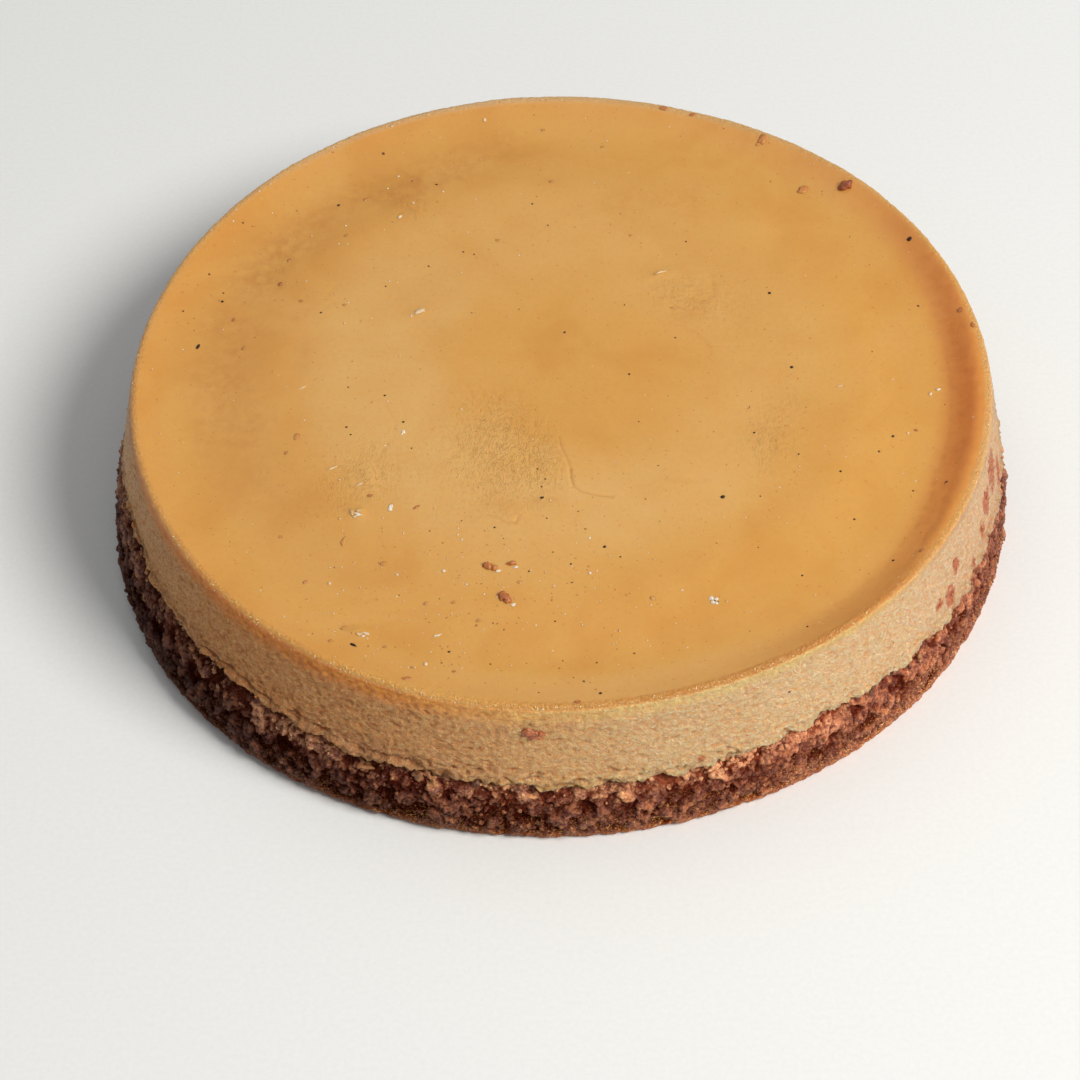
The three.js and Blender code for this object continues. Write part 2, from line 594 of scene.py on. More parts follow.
def crustColor(tree, space, grain, height, pale, crumb):
    # the baked lower edge is redder; golden ticks on the crumb tips, most of them low, are a painted
    # reflection of golden light
    patches = noiseField(tree, space, 5.0, 3, 0.6)
    cover = times(tree, between(tree, height, 4.2, 0.9), between(tree, patches, 0.3, 0.52, (0.3, 0.9)))
    color = mixColor(tree, cover, crumb, ramp(tree, grain, *sponge["crust"]))
    ticks = noiseField(tree, objectSpace(tree, (1, 1, 1.8)), 0.62, 2, 0.6, 0.8)
    golden = times(tree, between(tree, ticks, 0.585, 0.64), between(tree, height, 13, 1.5, (0.0, 1.0)))
    golden = times(tree, golden, between(tree, patches, 0.36, 0.56, (0.2, 0.9)))
    color = mixColor(tree, golden, color, sponge["golden"])
    # painted light: lighter on the sponge's top ledge just under the custard, which faces up, away from the
    # lit side
    ledge = times(tree, between(tree, height, 11.5, 16), between(tree, pale, 0.85, 0.5))
    color = timesColor(tree, color, mixColor(tree, ledge, (1, 1, 1), sponge["litLedge"]))
    # painted light and shade: lighter on the lit side, darker on the shaded side
    return timesColor(tree, color, mixColor(tree, pale, sponge["shadedSide"], sponge["litSide"]))


def spongeMaterial(name, tinted):
    material, tree, shader = newMaterial(name)
    space = objectSpace(tree)
    # the pale attribute is painted light: high on the lit side, low on the shaded side
    pale = between(tree, attribute(tree, "pale"), 0.05, 1.0)
    grain = noiseField(tree, space, 0.6, 4, 0.72)
    crumb = crumbColor(tree, grain, noiseField(tree, space, 2.3, 3, 0.6), tinted)
    color = crustColor(tree, space, grain, attribute(tree, "height"), pale, crumb)
    tree.links.new(color, shader.inputs["Base Color"])
    setSurface(shader, 0.4, 0.3, 0.06, (1, 0.35, 0.2), 0.001)
    tree.links.new(between(tree, grain, 0.35, 0.62, (0.5, 0.2)), shader.inputs["Roughness"])
    raised = between(tree, attribute(tree, "relief"), -0.9, 0.1)
    gloss = times(tree, between(tree, pale, 0.0, 0.6, (0.2, 0.5)), raised)
    tree.links.new(gloss, shader.inputs["Specular IOR Level"])
    addBump(tree, shader, noiseField(tree, space, 0.5, 4, 0.78), 1.0, 0.85)
    return material


def makeSponge(material):
    rows = sponge["rows"]
    length = curveLength(spongeCurve)
    bm = bmesh.new()
    names = ("along", "relief", "height", "red", "pale")
    along, reliefLayer, heightLayer, redLayer, litSideLayer = addLayers(bm, *names)
    addSleeve(bm, sponge["segments"], rows, 0)
    closeEnd(bm, 0, 0.9, 96, -1)
    closeEnd(bm, rows, 0.9, 96, 1)
    for vert in bm.verts:
        row = round(vert.co.z)
        angle = math.atan2(vert.co.y, vert.co.x)
        if row < 0 or row > rows:
            layDisc(vert, along, spongeCurve, row, angle, length)
            continue
        spot, relief, height = spongePoint(angle, row)
        vert[along] = row / rows * length
        vert[reliefLayer] = relief
        vert[heightLayer] = height
        vert[redLayer] = redShare(angle, height)
        vert[litSideLayer] = litSideShare(angle)
        vert.co = spot * mm
    stripMap(bm, along, sponge["strips"], length)
    register(writePiece(bm, "chocolateSponge", material), "sponge", "sponge_base")


def makeLooseCrumbs(material):
    draw = random.Random(7)
    crumbs = []
    for _ in range(sponge["looseCrumbs"]):
        angle = draw.uniform(-math.pi, math.pi)
        row = 8 + (sponge["rows"] - 12) * draw.random() ** 0.8
        size = 0.6 + 1.0 * draw.random() ** 2.2
        crumbs.append((angle, row, size, draw.random() ** 1.3))
    # a tongue of crumb that climbs over the custard at the front
    for _ in range(sponge["tongueCrumbs"]):
        angle = math.radians(-75 + 17.5 * draw.random() + draw.gauss(0, 0.4))
        row = sponge["rows"] - 9 + draw.uniform(-5, 5)
        crumbs.append((angle, row, 0.8 + 1.3 * draw.random(), 0.9))
    lumps = []
    for angle, row, size, tint in crumbs:
        spot, _, height = spongePoint(angle, row)
        outward = Vector((math.cos(angle), math.sin(angle), 0))
        spot += outward * size * draw.uniform(-0.2, 0.08)
        shape = (size * draw.uniform(0.8, 1.3), size * draw.uniform(0.7, 1.1), size * draw.uniform(0.6, 0.9))
        values = (tint, 0.25, height, redShare(angle, height), litSideShare(angle))
        lumps.append((spot, shape, facingOut(outward, draw.uniform(0, 360)), 0, 0.5, values))
    names = ("tint", "relief", "height", "red", "pale")
    makeLumps("spongeCrumbs", material, "sponge", draw, names, lumps)


makeSponge(spongeMaterial("chocolateSponge", False))
makeLooseCrumbs(spongeMaterial("spongeCrumb", True))

# custard layer: its side, in millimetres, and its colours on the shaded and on the lit side of the cake,
# which are painted shade and painted light
custard = {
    "segments": 1480,
    "rows": 62,
    "strips": 4,
    "lip": 0.5,  # how far the lower edge hangs out over the sponge
    "ragged": 1.3,
    "slant": 0.16,
    "squash": 1.7,  # how much flatter than long the foam's grain is
    "skinEdge": 1.2,  # where the skin starts, below the crest
    "fade": 2.8,  # how far its colour runs down the side
    "leftFade": 5.0,
    "pore": 1.5,
    "poreDepth": 0.5,
    "grain": 0.2,
    "crinkle": 0.26,
    "crevice": 1.4,  # depth of the crack above the lower lip at the front left
    "creviceHeight": 3.0,
    "topSink": 5.5,  # how far the hidden top disc lies below its edge
    # the foam's colours by its streaks
    "shadedSideFoam": [(0.33, (0.52, 0.150, 0.025)), (0.46, (0.67, 0.255, 0.058)),
                  (0.57, (0.79, 0.360, 0.102)), (0.69, (0.94, 0.57, 0.225))],
    "litSideFoam": [(0.33, (0.84, 0.375, 0.112)), (0.46, (0.88, 0.530, 0.220)),
                 (0.57, (0.91, 0.610, 0.290)), (0.69, (0.98, 0.79, 0.47))],
    "pits": ((0.50, 0.135, 0.022), (0.80, 0.320, 0.095)),
    # painted highlights along the crinkles, on the shaded and on the lit side
    "crinklesAndGlints": ((0.90, 0.54, 0.20), (0.96, 0.80, 0.53)),
    "smear": ((0.48, 0.085, 0.035), (0.74, 0.25, 0.098)),
    "edgeDark": ((0.60, 0.150, 0.022), (0.78, 0.36, 0.12)),
    "edgeLight": ((0.74, 0.235, 0.046), (0.88, 0.53, 0.21)),
    # what the colours are multiplied by: painted light and shade round the whole side, painted shade low on
    # it, and painted light and highlight where the skin fades out
    "roundLightTone": [(-180, (1.12, 1.30, 1.85)), (-170, (1.12, 1.28, 1.80)), (-155, (1.06, 1.14, 1.42)),
                  (-135, (1.06, 1.0, 1.0)), (-112, (1.0, 0.91, 0.83)), (-92, (1.05, 1.02, 0.97)),
                  (-80, (1.07, 1.11, 1.17)), (-50, (1.07, 1.04, 1.08)), (-30, (0.99, 0.95, 1.05)),
                  (-12, (0.98, 0.95, 1.08)), (20, (0.98, 0.95, 1.08)), (90, (1.0, 1.02, 1.25)),
                  (180, (1.12, 1.30, 1.85))],
    "lowShadeTone": [(-180, (0.80, 0.80, 0.90)), (-130, (0.75, 0.74, 0.88)), (-110, (0.85, 0.83, 0.94)),
                (-92, (1.0, 1.0, 1.0)), (-40, (1.0, 1.0, 1.0)), (-15, (0.88, 0.82, 0.80)),
                (20, (0.90, 0.88, 0.88)), (180, (0.80, 0.80, 0.90))],
    "edgeLightTone": [(-180, (0.97, 1.25, 2.60)), (-170, (0.97, 1.25, 2.50)), (-158, (1.62, 1.86, 2.35)),
                 (-135, (1.62, 1.58, 1.15)), (-112, (1.50, 1.32, 0.72)), (-95, (1.55, 1.80, 1.75)),
                 (-84, (1.45, 1.84, 2.05)), (-70, (1.33, 1.70, 1.90)), (-50, (1.24, 1.28, 1.08)),
                 (-30, (1.0, 0.94, 1.12)), (-12, (0.97, 1.13, 1.52)), (20, (0.97, 1.13, 1.52)),
                 (90, (0.97, 1.18, 1.90)), (180, (0.97, 1.25, 2.60))],
}
# the dished top, in millimetres
bowl = {
    "depth": 2.9,  # crest to moat
    "moreDepth": 0.45,  # at the right
    "moat": 96.0,
    "gentle": 1.8,
    "slopeStart": 99.0,  # the right and front slopes are steeper, most of all near their top
    "slopeEnd": 112.0,
    "slopeShift": 2.6,
    "slopePower": 1.6,
    "foldDepth": 0.1,  # a crease high on the right slope
    "rise": 1.0,  # middle over moat
    "edge": 85.0,
    "edgeWidth": 10.0,
    "swell": 0.2,
    "crestDip": 0.16,  # the skin lies a little lower just inside the crest
}
# caramel skin: its mesh, in millimetres, and its colours
skin = {
    "outerRows": 11,
    "rimRows": 17,
    "rimStep": 0.5,
    "innerStep": 1.0,
    "thickness": 9.0,
    "wobble": 0.14,
    "clear": [(0.34, (0.640, 0.302, 0.060)), (0.52, (0.668, 0.335, 0.074)), (0.68, (0.680, 0.350, 0.086))],
    "mottle": (0.57, 0.235, 0.042),
    # haze, and painted light on the front slope
    "haze": (0.700, 0.400, 0.126),
    # browner stains and the band of painted shade
    "stain": (0.52, 0.205, 0.036),
    "dot": (0.50, 0.185, 0.032),
    "dots": [(3.1, 0.14, 0.75), (1.6, 0.2, 0.6), (0.85, 0.26, 0.4)],  # spacing, largest radius, strength
    # the right slope's redder, darker colour, partly its own and partly painted shade
    "slope": ((0.61, 0.175, 0.024), (0.67, 0.215, 0.034)),
    # the colour of the painted shade in the creases
    "crease": (0.50, 0.165, 0.020),
    # lighter beads on the crest, painted glints
    "bead": (0.80, 0.48, 0.18),
    # the crest's colour round the cake: golden, partly painted highlight, palest at the back where the sheen
    # lies
    "crest": [(-180, (0.67, 0.31, 0.080)), (-125, (0.71, 0.32, 0.060)), (-108, (0.78, 0.40, 0.090)),
              (-92, (0.68, 0.30, 0.060)), (-78, (0.60, 0.245, 0.045)), (-60, (0.51, 0.195, 0.033)),
              (-45, (0.58, 0.215, 0.034)), (-30, (0.69, 0.34, 0.088)), (-14, (0.70, 0.38, 0.135)),
              (20, (0.76, 0.38, 0.088)), (60, (0.70, 0.42, 0.16)), (100, (0.70, 0.46, 0.24)),
              (150, (0.68, 0.37, 0.12)), (180, (0.67, 0.31, 0.080))],
}
# creases in the skin: points in millimetres, depth and half width
creases = [
    ([(-0.9, -23.5), (-0.2, -27.5), (1.4, -32.0), (1.9, -35.0)], 0.11, 0.35),
    ([(1.9, -35.0), (2.1, -38.4), (2.6, -41.0), (4.4, -42.8), (8.6, -44.2), (12.5, -44.9)], 0.20, 0.32),
    ([(-47.3, -10.0), (-45.4, -13.5), (-44.0, -17.0), (-44.6, -23.5), (-47.4, -27.5), (-48.6, -32.5),
      (-46.0, -37.0)], 0.05, 0.4),
    ([(-25.4, -3.0), (-24.0, -6.0), (-23.4, -8.5)], 0.06, 0.5),
    ([(-19.5, -50.5), (-17.0, -51.6), (-15.0, -53.2), (-12.5, -53.4), (-11.5, -51.0)], 0.12, 0.45),
    ([(34.3, 16.4), (37.1, 15.0), (39.6, 11.8), (40.6, 9.3), (40.1, 5.0)], 0.09, 0.6),
    ([(43.2, 35.0), (42.9, 29.3), (40.4, 27.1), (36.0, 27.6)], 0.12, 0.7),
    ([(26.0, -38.6), (28.0, -39.8), (30.5, -39.6), (34.0, -40.4), (38.0, -39.6)], 0.07, 0.7),
    ([(-63.6, 32.0), (-62.0, 34.5), (-60.6, 36.6)], 0.08, 0.6),
    ([(-26.5, -27.0), (-30.0, -31.0), (-32.0, -33.5)], 0.06, 0.7),
]
sharpCreases = creases[:5]  # the narrow ones, which get a finer mesh
# soft swellings: x, y, half widths along and across, turn in degrees, height
swellings = [
    (-53.2, -49.0, 3.0, 2.4, -40, 0.55), (-51.5, -88.2, 3.2, 1.7, -10, 0.5),
    (-38.8, 24.4, 3.2, 1.6, 20, 0.35), (28.8, 38.2, 4.5, 1.6, 15, 0.35),
    (33.0, 31.0, 7.5, 5.5, 30, 0.30), (31.5, -37.2, 2.4, 1.4, 0, 0.22),
    (-50.6, -36.5, 1.6, 6.0, 14, 0.30), (-3.4, -33.0, 3.4, 5.0, 20, 0.22),
    (-36.5, 18.0, 4.5, 8.0, 25, -0.18), (-40.0, 71.0, 8.0, 5.5, 40, 0.16),
    (-76.0, 44.0, 3.0, 6.0, -10, 0.14), (-13.0, -50.0, 4.0, 3.0, 0, 0.20),
    (83.0, 73.0, 5.0, 4.0, 40, 0.25), (60.5, 95.0, 4.0, 5.0, 60, 0.4), (-31.0, -36.0, 6.0, 7.0, 0, 0.16),
]
# fields of fine wrinkles: x, y, half widths, strength
wrinkleFields = [
    (-17, -27, 13, 22, 1.0), (54, -26, 8, 13, 0.8), (-50, -35, 9, 12, 0.7), (35, 28, 11, 11, 0.8),
    (-41, 69, 10, 9, 0.6), (-5, -33, 6, 12, 0.6), (-77, 44, 5, 9, 0.45), (62, -10, 6, 9, 0.4),
    (-62, -42, 9, 12, 0.4), (48, 20, 6, 9, 0.4),
]
# browner stains, and along the left a darker band of painted shade: x, y, radius, strength
stainsAndShade = [(-84, 40, 8, 0.75), (-78, 53, 8, 0.7), (-68, 62, 8, 0.5), (-55, 73, 9, 0.6), (-42, 79, 8, 0.7),
          # the four at x -80 to -91 are the painted shade of the band inside the left rim
          (-28, 87, 8, 0.5), (-15, 94, 8, 0.45), (-2, 79, 6, 0.3), (-90, 20, 9, 0.6), (-91, 2, 10, 0.6),
          (-88, -18, 10, 0.5), (-80, -38, 10, 0.3), (20, 68, 10, 0.25), (38, 66, 9, 0.25), (75, 82, 9, 0.35),
          (98, 52, 7, 0.4), (-68, 8, 4, 0.35), (-70, 25, 5, 0.3), (-5.5, -46, 3, 0.3), (37, 23.5, 3.5, 0.3)]


def creaseAway(x, y, points, far=9.0):
    # distance to a crease, or the far value where it isn't near
    nearest = far
    for (ax, ay), (bx, by) in zip(points, points[1:]):
        if abs(x - ax) > 12 or abs(y - ay) > 12:
            continue
        dx, dy = bx - ax, by - ay
        share = min(max(((x - ax) * dx + (y - ay) * dy) / (dx * dx + dy * dy), 0.0), 1.0)
        nearest = min(nearest, math.hypot(x - ax - share * dx, y - ay - share * dy))
    return nearest


def creaseShade(x, y):
    # painted shade: the skin darker inside the creases
    shade = max(deep * bell(creaseAway(x, y, points) / (0.9 * width)) for points, deep, width in creases)
    return min(1.6 * shade, 1.0)


def skinCover(angle, height):
    # 0 on the bare side, 1 where the caramel skin is whole
    fade = custard["fade"] + custard["leftFade"] * bell(away(angle, -118) / 48)
    edge = crest - custard["skinEdge"]
    return 0.97 * smoothStep(height, edge - fade, edge) + 0.03 * smoothStep(height, edge - 0.2, edge + 0.6)


def foldShade(radius, angle, spot):
    # painted shade: the darker line where the lip folds down at the right
    line = slopeEnds(angle)[0] + 5.4 + 0.8 * noise.noise(spot / 7)
    blotch = max(0.4 + 0.9 * noise.noise(spot / 2.2), 0.0)
    return 0.7 * blotch * bell((radius - line) / 0.8, away(angle, -18) / 26)


def swellHeight(x, y):
    total = 0.0
    for px, py, long, wide, turn, height in swellings:
        dx, dy = x - px, y - py
        if abs(dx) + abs(dy) < 3.2 * (long + wide):
            cos, sin = math.cos(math.radians(turn)), math.sin(math.radians(turn))
            u = (dx * cos + dy * sin) / long
            v = (dy * cos - dx * sin) / wide
            total += height * math.exp(-1.2 * (u * u + v * v))
    return total * (1 + 0.6 * noise.noise(Vector((x, y, 1)) / 1.6))


def slopeEnds(angle):
    shift = bowl["slopeShift"] * smoothStep(away(angle, -10), 8, 38)
    return bowl["slopeStart"] + shift, bowl["slopeEnd"] + 1.2 * shift


def slopeShape(radius, start, end):
    share = min(max((radius - start) / (end - start), 0.0), 1.0) ** bowl["slopePower"]
    return smoothStep(share, 0.0, 1.0)


def bowlHeight(radius, angle):
    # the dish without its unevenness: a gentle climb to the crest, steeper at the right and the front
    crestHere = crest + wave(rimWaves, angle)
    climb = min(max((radius - bowl["moat"]) / (rim - bowl["moat"]), 0.0), 1.0) ** bowl["gentle"]
    start, end = slopeEnds(angle)
    slope = slopeShape(radius, start, end) / slopeShape(rim, start, end)
    climb += (min(slope, 1.0) - climb) * (1 - smoothStep(away(angle, -15), 28, 62))
    deeper = bowl["moreDepth"] * bell(away(angle, -12) / 50) * smoothStep(radius, 80, 100)
    moatHeight = crest - bowl["depth"] - deeper
    dip = bowl["crestDip"] * math.exp(-max(rim - radius, 0.0) / 0.5)
    return moatHeight + (crestHere - moatHeight) * climb - dip


def skinHeight(x, y):
    radius, angle = polar(x, y)
    spot = Vector((x, y, 0))
    ring = Vector((math.cos(angle), math.sin(angle), 0))
    height = bowlHeight(radius, angle)
    start, end = slopeEnds(angle)
    if start < radius < end:
        foldPlace = start + 0.72 * (end - start) + 0.9 * noise.noise(spot / 9)
        height -= bowl["foldDepth"] * bell((radius - foldPlace) / 0.9, away(angle, -36) / 20)
    edge = bowl["edge"] + 4 * noise.noise(ring * 1.7 + Vector((4, 4, 4))) + 2 * noise.noise(spot / 12)
    height += bowl["rise"] * (1 - smoothStep(radius, edge - bowl["edgeWidth"], edge + bowl["edgeWidth"]))
    height += bowl["swell"] * noise.noise(spot / 30) + 0.06 * noise.noise(spot / 10 + Vector((3, 1, 0)))
    height += 0.02 * noise.noise(spot / 3.2) + swellHeight(x, y)
    for points, deep, width in creases:
        gap = creaseAway(x, y, points)
        if gap < 3:
            height -= deep * bell(gap / width)
            height += 0.35 * deep * bell((gap - 1.1) / 0.6)
    return height


def skinNormal(x, y):
    step = 0.4
    east = skinHeight(x + step, y) - skinHeight(x - step, y)
    north = skinHeight(x, y + step) - skinHeight(x, y - step)
    return Vector((-east, -north, 2 * step)).normalized()


def wrinkleShare(x, y):
    share = sum(strength * bell((x - px) / wide, (y - py) / tall)
                for px, py, wide, tall, strength in wrinkleFields)
    return min(share, 1.0)


def stainAndShadeShare(x, y):
    bent = Vector((x, y, 0)) + 5 * noise.noise_vector(Vector((x, y, 3)) / 11)
    share = sum(strength * bell((bent.x - px) / radius, (bent.y - py) / radius)
                for px, py, radius, strength in stainsAndShade)
    return min(share * (0.8 + 0.5 * noise.noise(bent / 4)), 1.0)


def hazeAndLightShare(x, y):
    # a paler ring round the middle, clearest at the left and the front, and painted light that makes the
    # front slope paler
    bent = Vector((x, y, 0)) + 8 * noise.noise_vector(Vector((x, y, 9)) / 22)
    radius = math.hypot(bent.x - 2, bent.y - 4)
    ring = smoothStep(radius, 22, 44) * (1 - smoothStep(radius, 60, 82))
    front = 0.55 + 0.45 * smoothStep(-bent.x - 1.2 * bent.y, -45, 60)
    # painted light on the front slope
    slope = 0.75 * smoothStep(math.hypot(x, y), 100, 107) * bell((x - 15) / 55) * smoothStep(-y, 0, 60)
    return ring * front * (0.9 + 0.35 * noise.noise(bent / 9)) + slope


def ridges(tree, space, size, thin, warp=0.6):
    # thin bright lines along the middle value of a noise
    field = noiseField(tree, space, size, 2, 0.5, warp)
    return between(tree, math2(tree, "ABSOLUTE", minus(tree, field, 0.5), 0.0), 0.0, thin, (1.0, 0.0))


def roundRamp(tree, *stops):
    # a colour that changes round the side: degrees round, colour
    x, y, _ = splitSpace(tree, objectSpace(tree))
    turn = between(tree, math2(tree, "ARCTAN2", y, x), -math.pi, math.pi)
    return ramp(tree, turn, *[((degrees + 180) / 360, color) for degrees, color in stops])


def custardFields(tree):
    # the noises and mesh attributes that the colours and the bump share
    space = objectSpace(tree)
    flat = slantSpace(tree, custard["slant"], custard["squash"])
    names = ("skin", "relief", "smear", "haze", "stain", "rimShade", "crease", "crest", "wrinkle")
    painted = {name: attribute(tree, name) for name in names}
    return SimpleNamespace(
        space=space,
        flat=flat,
        # pale is painted light: high on the lit side, low on the shaded side
        pale=between(tree, attribute(tree, "pale"), 0.1, 1.0),
        streaks=noiseField(tree, flat, 1.0, 4, 0.68),
        crinklesAndGlints=math2(tree, "MAXIMUM", ridges(tree, flat, 1.7, 0.045), ridges(tree, flat, 0.95, 0.04)),
        mottle=noiseField(tree, space, 1.4, 3, 0.6),
        beads=noiseField(tree, space, 0.7, 2, 0.5),
        **painted,
    )


def sideColor(tree, fields):
    # set custard with darker pits and smears, painted highlights on the crinkles and raised bits, and painted
    # light that makes it paler at the front right
    pits = noiseField(tree, fields.flat, 1.3, 3, 0.6, 0.5)
    color = mixColor(tree, fields.pale, ramp(tree, fields.streaks, *custard["shadedSideFoam"]),
                     ramp(tree, fields.streaks, *custard["litSideFoam"]))
    deep = mixColor(tree, fields.pale, *custard["pits"])
    color = mixColor(tree, between(tree, pits, 0.47, 0.33, (0.0, 0.75)), color, deep)
    color = mixColor(tree, between(tree, fields.relief, -0.1, -0.5, (0.0, 0.8)), color, deep)
    # painted highlights on the raised bits and along the crinkles
    bright = mixColor(tree, fields.pale, *custard["crinklesAndGlints"])
    color = mixColor(tree, between(tree, fields.relief, 0.45, 1.2, (0.0, 0.12)), color, bright)
    color = mixColor(tree, times(tree, fields.crinklesAndGlints, 0.75), color, bright)
    smear = mixColor(tree, between(tree, pits, 0.35, 0.62), *custard["smear"])
    color = mixColor(tree, fields.smear, color, smear)
    # painted light and shade round the side, and painted shade low on it
    color = timesColor(tree, color, roundRamp(tree, *custard["roundLightTone"]))
    low = between(tree, splitSpace(tree, fields.space)["Z"], 27.0, 22.0)
    return mixColor(tree, low, color, timesColor(tree, color, roundRamp(tree, *custard["lowShadeTone"])))


def edgeColor(tree, fields):
    # where the skin fades out, down the side, multiplied round the cake by painted light and highlight
    dark = mixColor(tree, fields.pale, *custard["edgeDark"])
    light = mixColor(tree, fields.pale, *custard["edgeLight"])
    edge = mixColor(tree, between(tree, fields.mottle, 0.35, 0.65), dark, light)
    return timesColor(tree, edge, roundRamp(tree, *custard["edgeLightTone"]))


def skinColor(tree, fields):
    # caramel with haze and painted light, stains and a band of painted shade, fine dots, a redder slope that
    # is partly painted shade, creases with painted shade and a golden crest with painted highlights
    color = ramp(tree, noiseField(tree, fields.space, 24, 3, 0.5, 0.6), *skin["clear"])
    color = mixColor(tree, between(tree, fields.mottle, 0.35, 0.7, (0.0, 0.16)), color, skin["mottle"])
    haze = times(tree, fields.haze, between(tree, fields.mottle, 0.7, 0.3, (0.65, 1.0)))
    color = mixColor(tree, haze, color, skin["haze"])
    blot = noiseField(tree, fields.space, 3.2, 4, 0.65)
    # stains, and the band of painted shade along the left
    stain = times(tree, fields.stain, between(tree, blot, 0.36, 0.60, (0.12, 0.95)))
    color = mixColor(tree, stain, color, skin["stain"])
    for size, most, share in skin["dots"]:
        dotAway = cellField(tree, fields.space, size)
        dotSize = between(tree, cellField(tree, fields.space, size, "Color"), 0.3, 0.85, (0.0, most))
        dots = between(tree, minus(tree, dotSize, dotAway), 0.0, 0.07, (0.0, share))
        color = mixColor(tree, dots, color, skin["dot"])
    # the right slope redder and darker, partly painted shade
    slope = mixColor(tree, between(tree, blot, 0.35, 0.6), *skin["slope"])
    color = mixColor(tree, fields.rimShade, color, slope)
    # painted shade in the creases and the fold
    color = mixColor(tree, fields.crease, color, skin["crease"])
    # the golden crest, partly painted highlight, with lighter beads as painted glints
    golden = roundRamp(tree, *skin["crest"])
    golden = mixColor(tree, between(tree, fields.beads, 0.45, 0.7, (0.0, 0.25)), golden, skin["bead"])
    return mixColor(tree, times(tree, fields.crest, 0.9), color, golden)


def custardBump(tree, fields):
    # foam on the side, a calm skin with fields of fine wrinkles on top
    foam = plus(tree, noiseField(tree, fields.flat, 0.6, 3, 0.7), times(tree, fields.streaks, 1.2))
    foam = plus(tree, foam, times(tree, fields.crinklesAndGlints, 0.45))
    foam = minus(tree, foam, 1.15)
    calm = times(tree, between(tree, fields.skin, 0.96, 1.0, (1.1, 0.03)),
                 between(tree, fields.pale, 0.2, 1.0, (1.0, 1.2)))
    calm = math2(tree, "MAXIMUM", calm, times(tree, fields.crest, 0.5))
    folds = ridges(tree, objectSpace(tree, (1, 0.45, 1)), 1.9, 0.1, 2.4)
    wrinkle = times(tree, fields.wrinkle, between(tree, fields.mottle, 0.3, 0.6))
    slow = noiseField(tree, fields.space, 1.8, 3, 0.5)
    bumps = plus(tree, times(tree, foam, calm), times(tree, slow, 0.05))
    bumps = plus(tree, bumps, times(tree, wrinkle, times(tree, folds, 0.32)))
    return plus(tree, bumps, times(tree, fields.crest, minus(tree, fields.beads, 0.5)))


def custardMaterial():
    material, tree, shader = newMaterial("custardAndCaramel")
    fields = custardFields(tree)
    # bare side, fading skin and whole skin meet by the share of skin that the mesh carries
    fade = plus(tree, fields.skin, between(tree, fields.mottle, 0.2, 0.8, (-0.25, 0.25)))
    color = mixColor(tree, between(tree, fade, 0.15, 0.95), sideColor(tree, fields), edgeColor(tree, fields))
    color = mixColor(tree, between(tree, fields.skin, 0.97, 1.0), color, skinColor(tree, fields))
    tree.links.new(color, shader.inputs["Base Color"])
    setSurface(shader, 0.45, 0.45, 0.3, (1, 0.45, 0.18), 0.0035)
    gloss = between(tree, fields.skin, 0.96, 1.0, (0.3, 0.45))
    tree.links.new(gloss, shader.inputs["Specular IOR Level"])
    soft = between(tree, fields.skin, 0.0, 1.0, (0.28, 0.32))
    tree.links.new(soft, shader.inputs["Subsurface Weight"])
    rough = between(tree, fields.skin, 0.9, 1.0, (0.38, 0.34))
    tree.links.new(minus(tree, rough, times(tree, fields.crest, 0.06)), shader.inputs["Roughness"])
    addBump(tree, shader, custardBump(tree, fields), 1.0, 0.5)
    return material


# outlines, radius and height: the custard's side from the seam to the crest
custardOutline = [(belly - 8.0, seam + 0.3), (belly - 4.2, seam + 0.2), (belly - 3.3, seam + 0.9),
                  (belly - 3.9, seam + 4.5), (belly - 5.4, seam + 11.5), (rim + 2.5, crest - 7.0),
                  (rim + 1.85, crest - 4.0), (rim + 1.4, crest - 2.1), (rim + 0.7, crest - 1.5)]
custardCurve = evenCurve(custardOutline, custard["rows"])
# the skin starts inside the custard's side and comes out through it
crestOutline = [(rim + 1.1, crest - 3.6), (rim + 1.42, crest - 2.4), (rim + 1.32, crest - 1.4),
                (rim + 1.02, crest - 0.65), (rim + 0.6, crest - 0.25), (rim, crest - 0.14)]
crestCurve = evenCurve(crestOutline, skin["outerRows"])
# brown smears on the side: degrees round, height, half widths in millimetres
smears = [(-15.2, 34.0, 3.9, 5.4), (-19.4, 31.4, 2.6, 3.8), (-22.3, 27.0, 1.6, 2.2), (-31.1, 31.0, 1.4, 2.2),
          (-33.2, 24.2, 2.0, 3.2), (-36.0, 26.0, 1.6, 1.6), (-93.7, 35.4, 1.7, 1.3), (-74.0, 22.0, 0.9, 1.2),
          (15.0, 27.0, 1.2, 3.0), (62.0, 24.5, 1.4, 2.2), (101.0, 31.0, 1.0, 1.6), (140.0, 24.0, 1.3, 2.6),
          (-11.0, 25.5, 2.6, 3.8), (-26.5, 23.6, 1.0, 1.4)]


def poreRelief(spot, low):
    # set foam: grain drawn out sideways, small pores, more of them low on the side
    flat = Vector((spot.x, spot.y, (spot.z + custard["slant"] * spot.x) * custard["squash"]))
    grain = noise.fractal(flat / 1.6, 0.6, 2.1, 3)
    crinkle = 0.5 - 3 * abs(noise.noise(flat / 2.1 + Vector((8, 1, 3))))
    grain += custard["crinkle"] / custard["grain"] * crinkle
    bent = flat + 0.5 * noise.noise_vector(flat / 1.4)
    near, points = noise.voronoi(bent / custard["pore"])
    chance = noise.cell(points[0] * 27.3)
    pore = smoothStep(0.42 - near[0], 0.0, 0.3) * smoothStep(chance, 0.62 - 0.42 * low, 0.95)
    wavy = 0.2 * noise.noise(spot / 9) + 0.16 * noise.noise(flat / 4.3)
    return custard["grain"] * (1 + 0.9 * low) * grain + wavy - custard["poreDepth"] * pore * (0.55 + low)


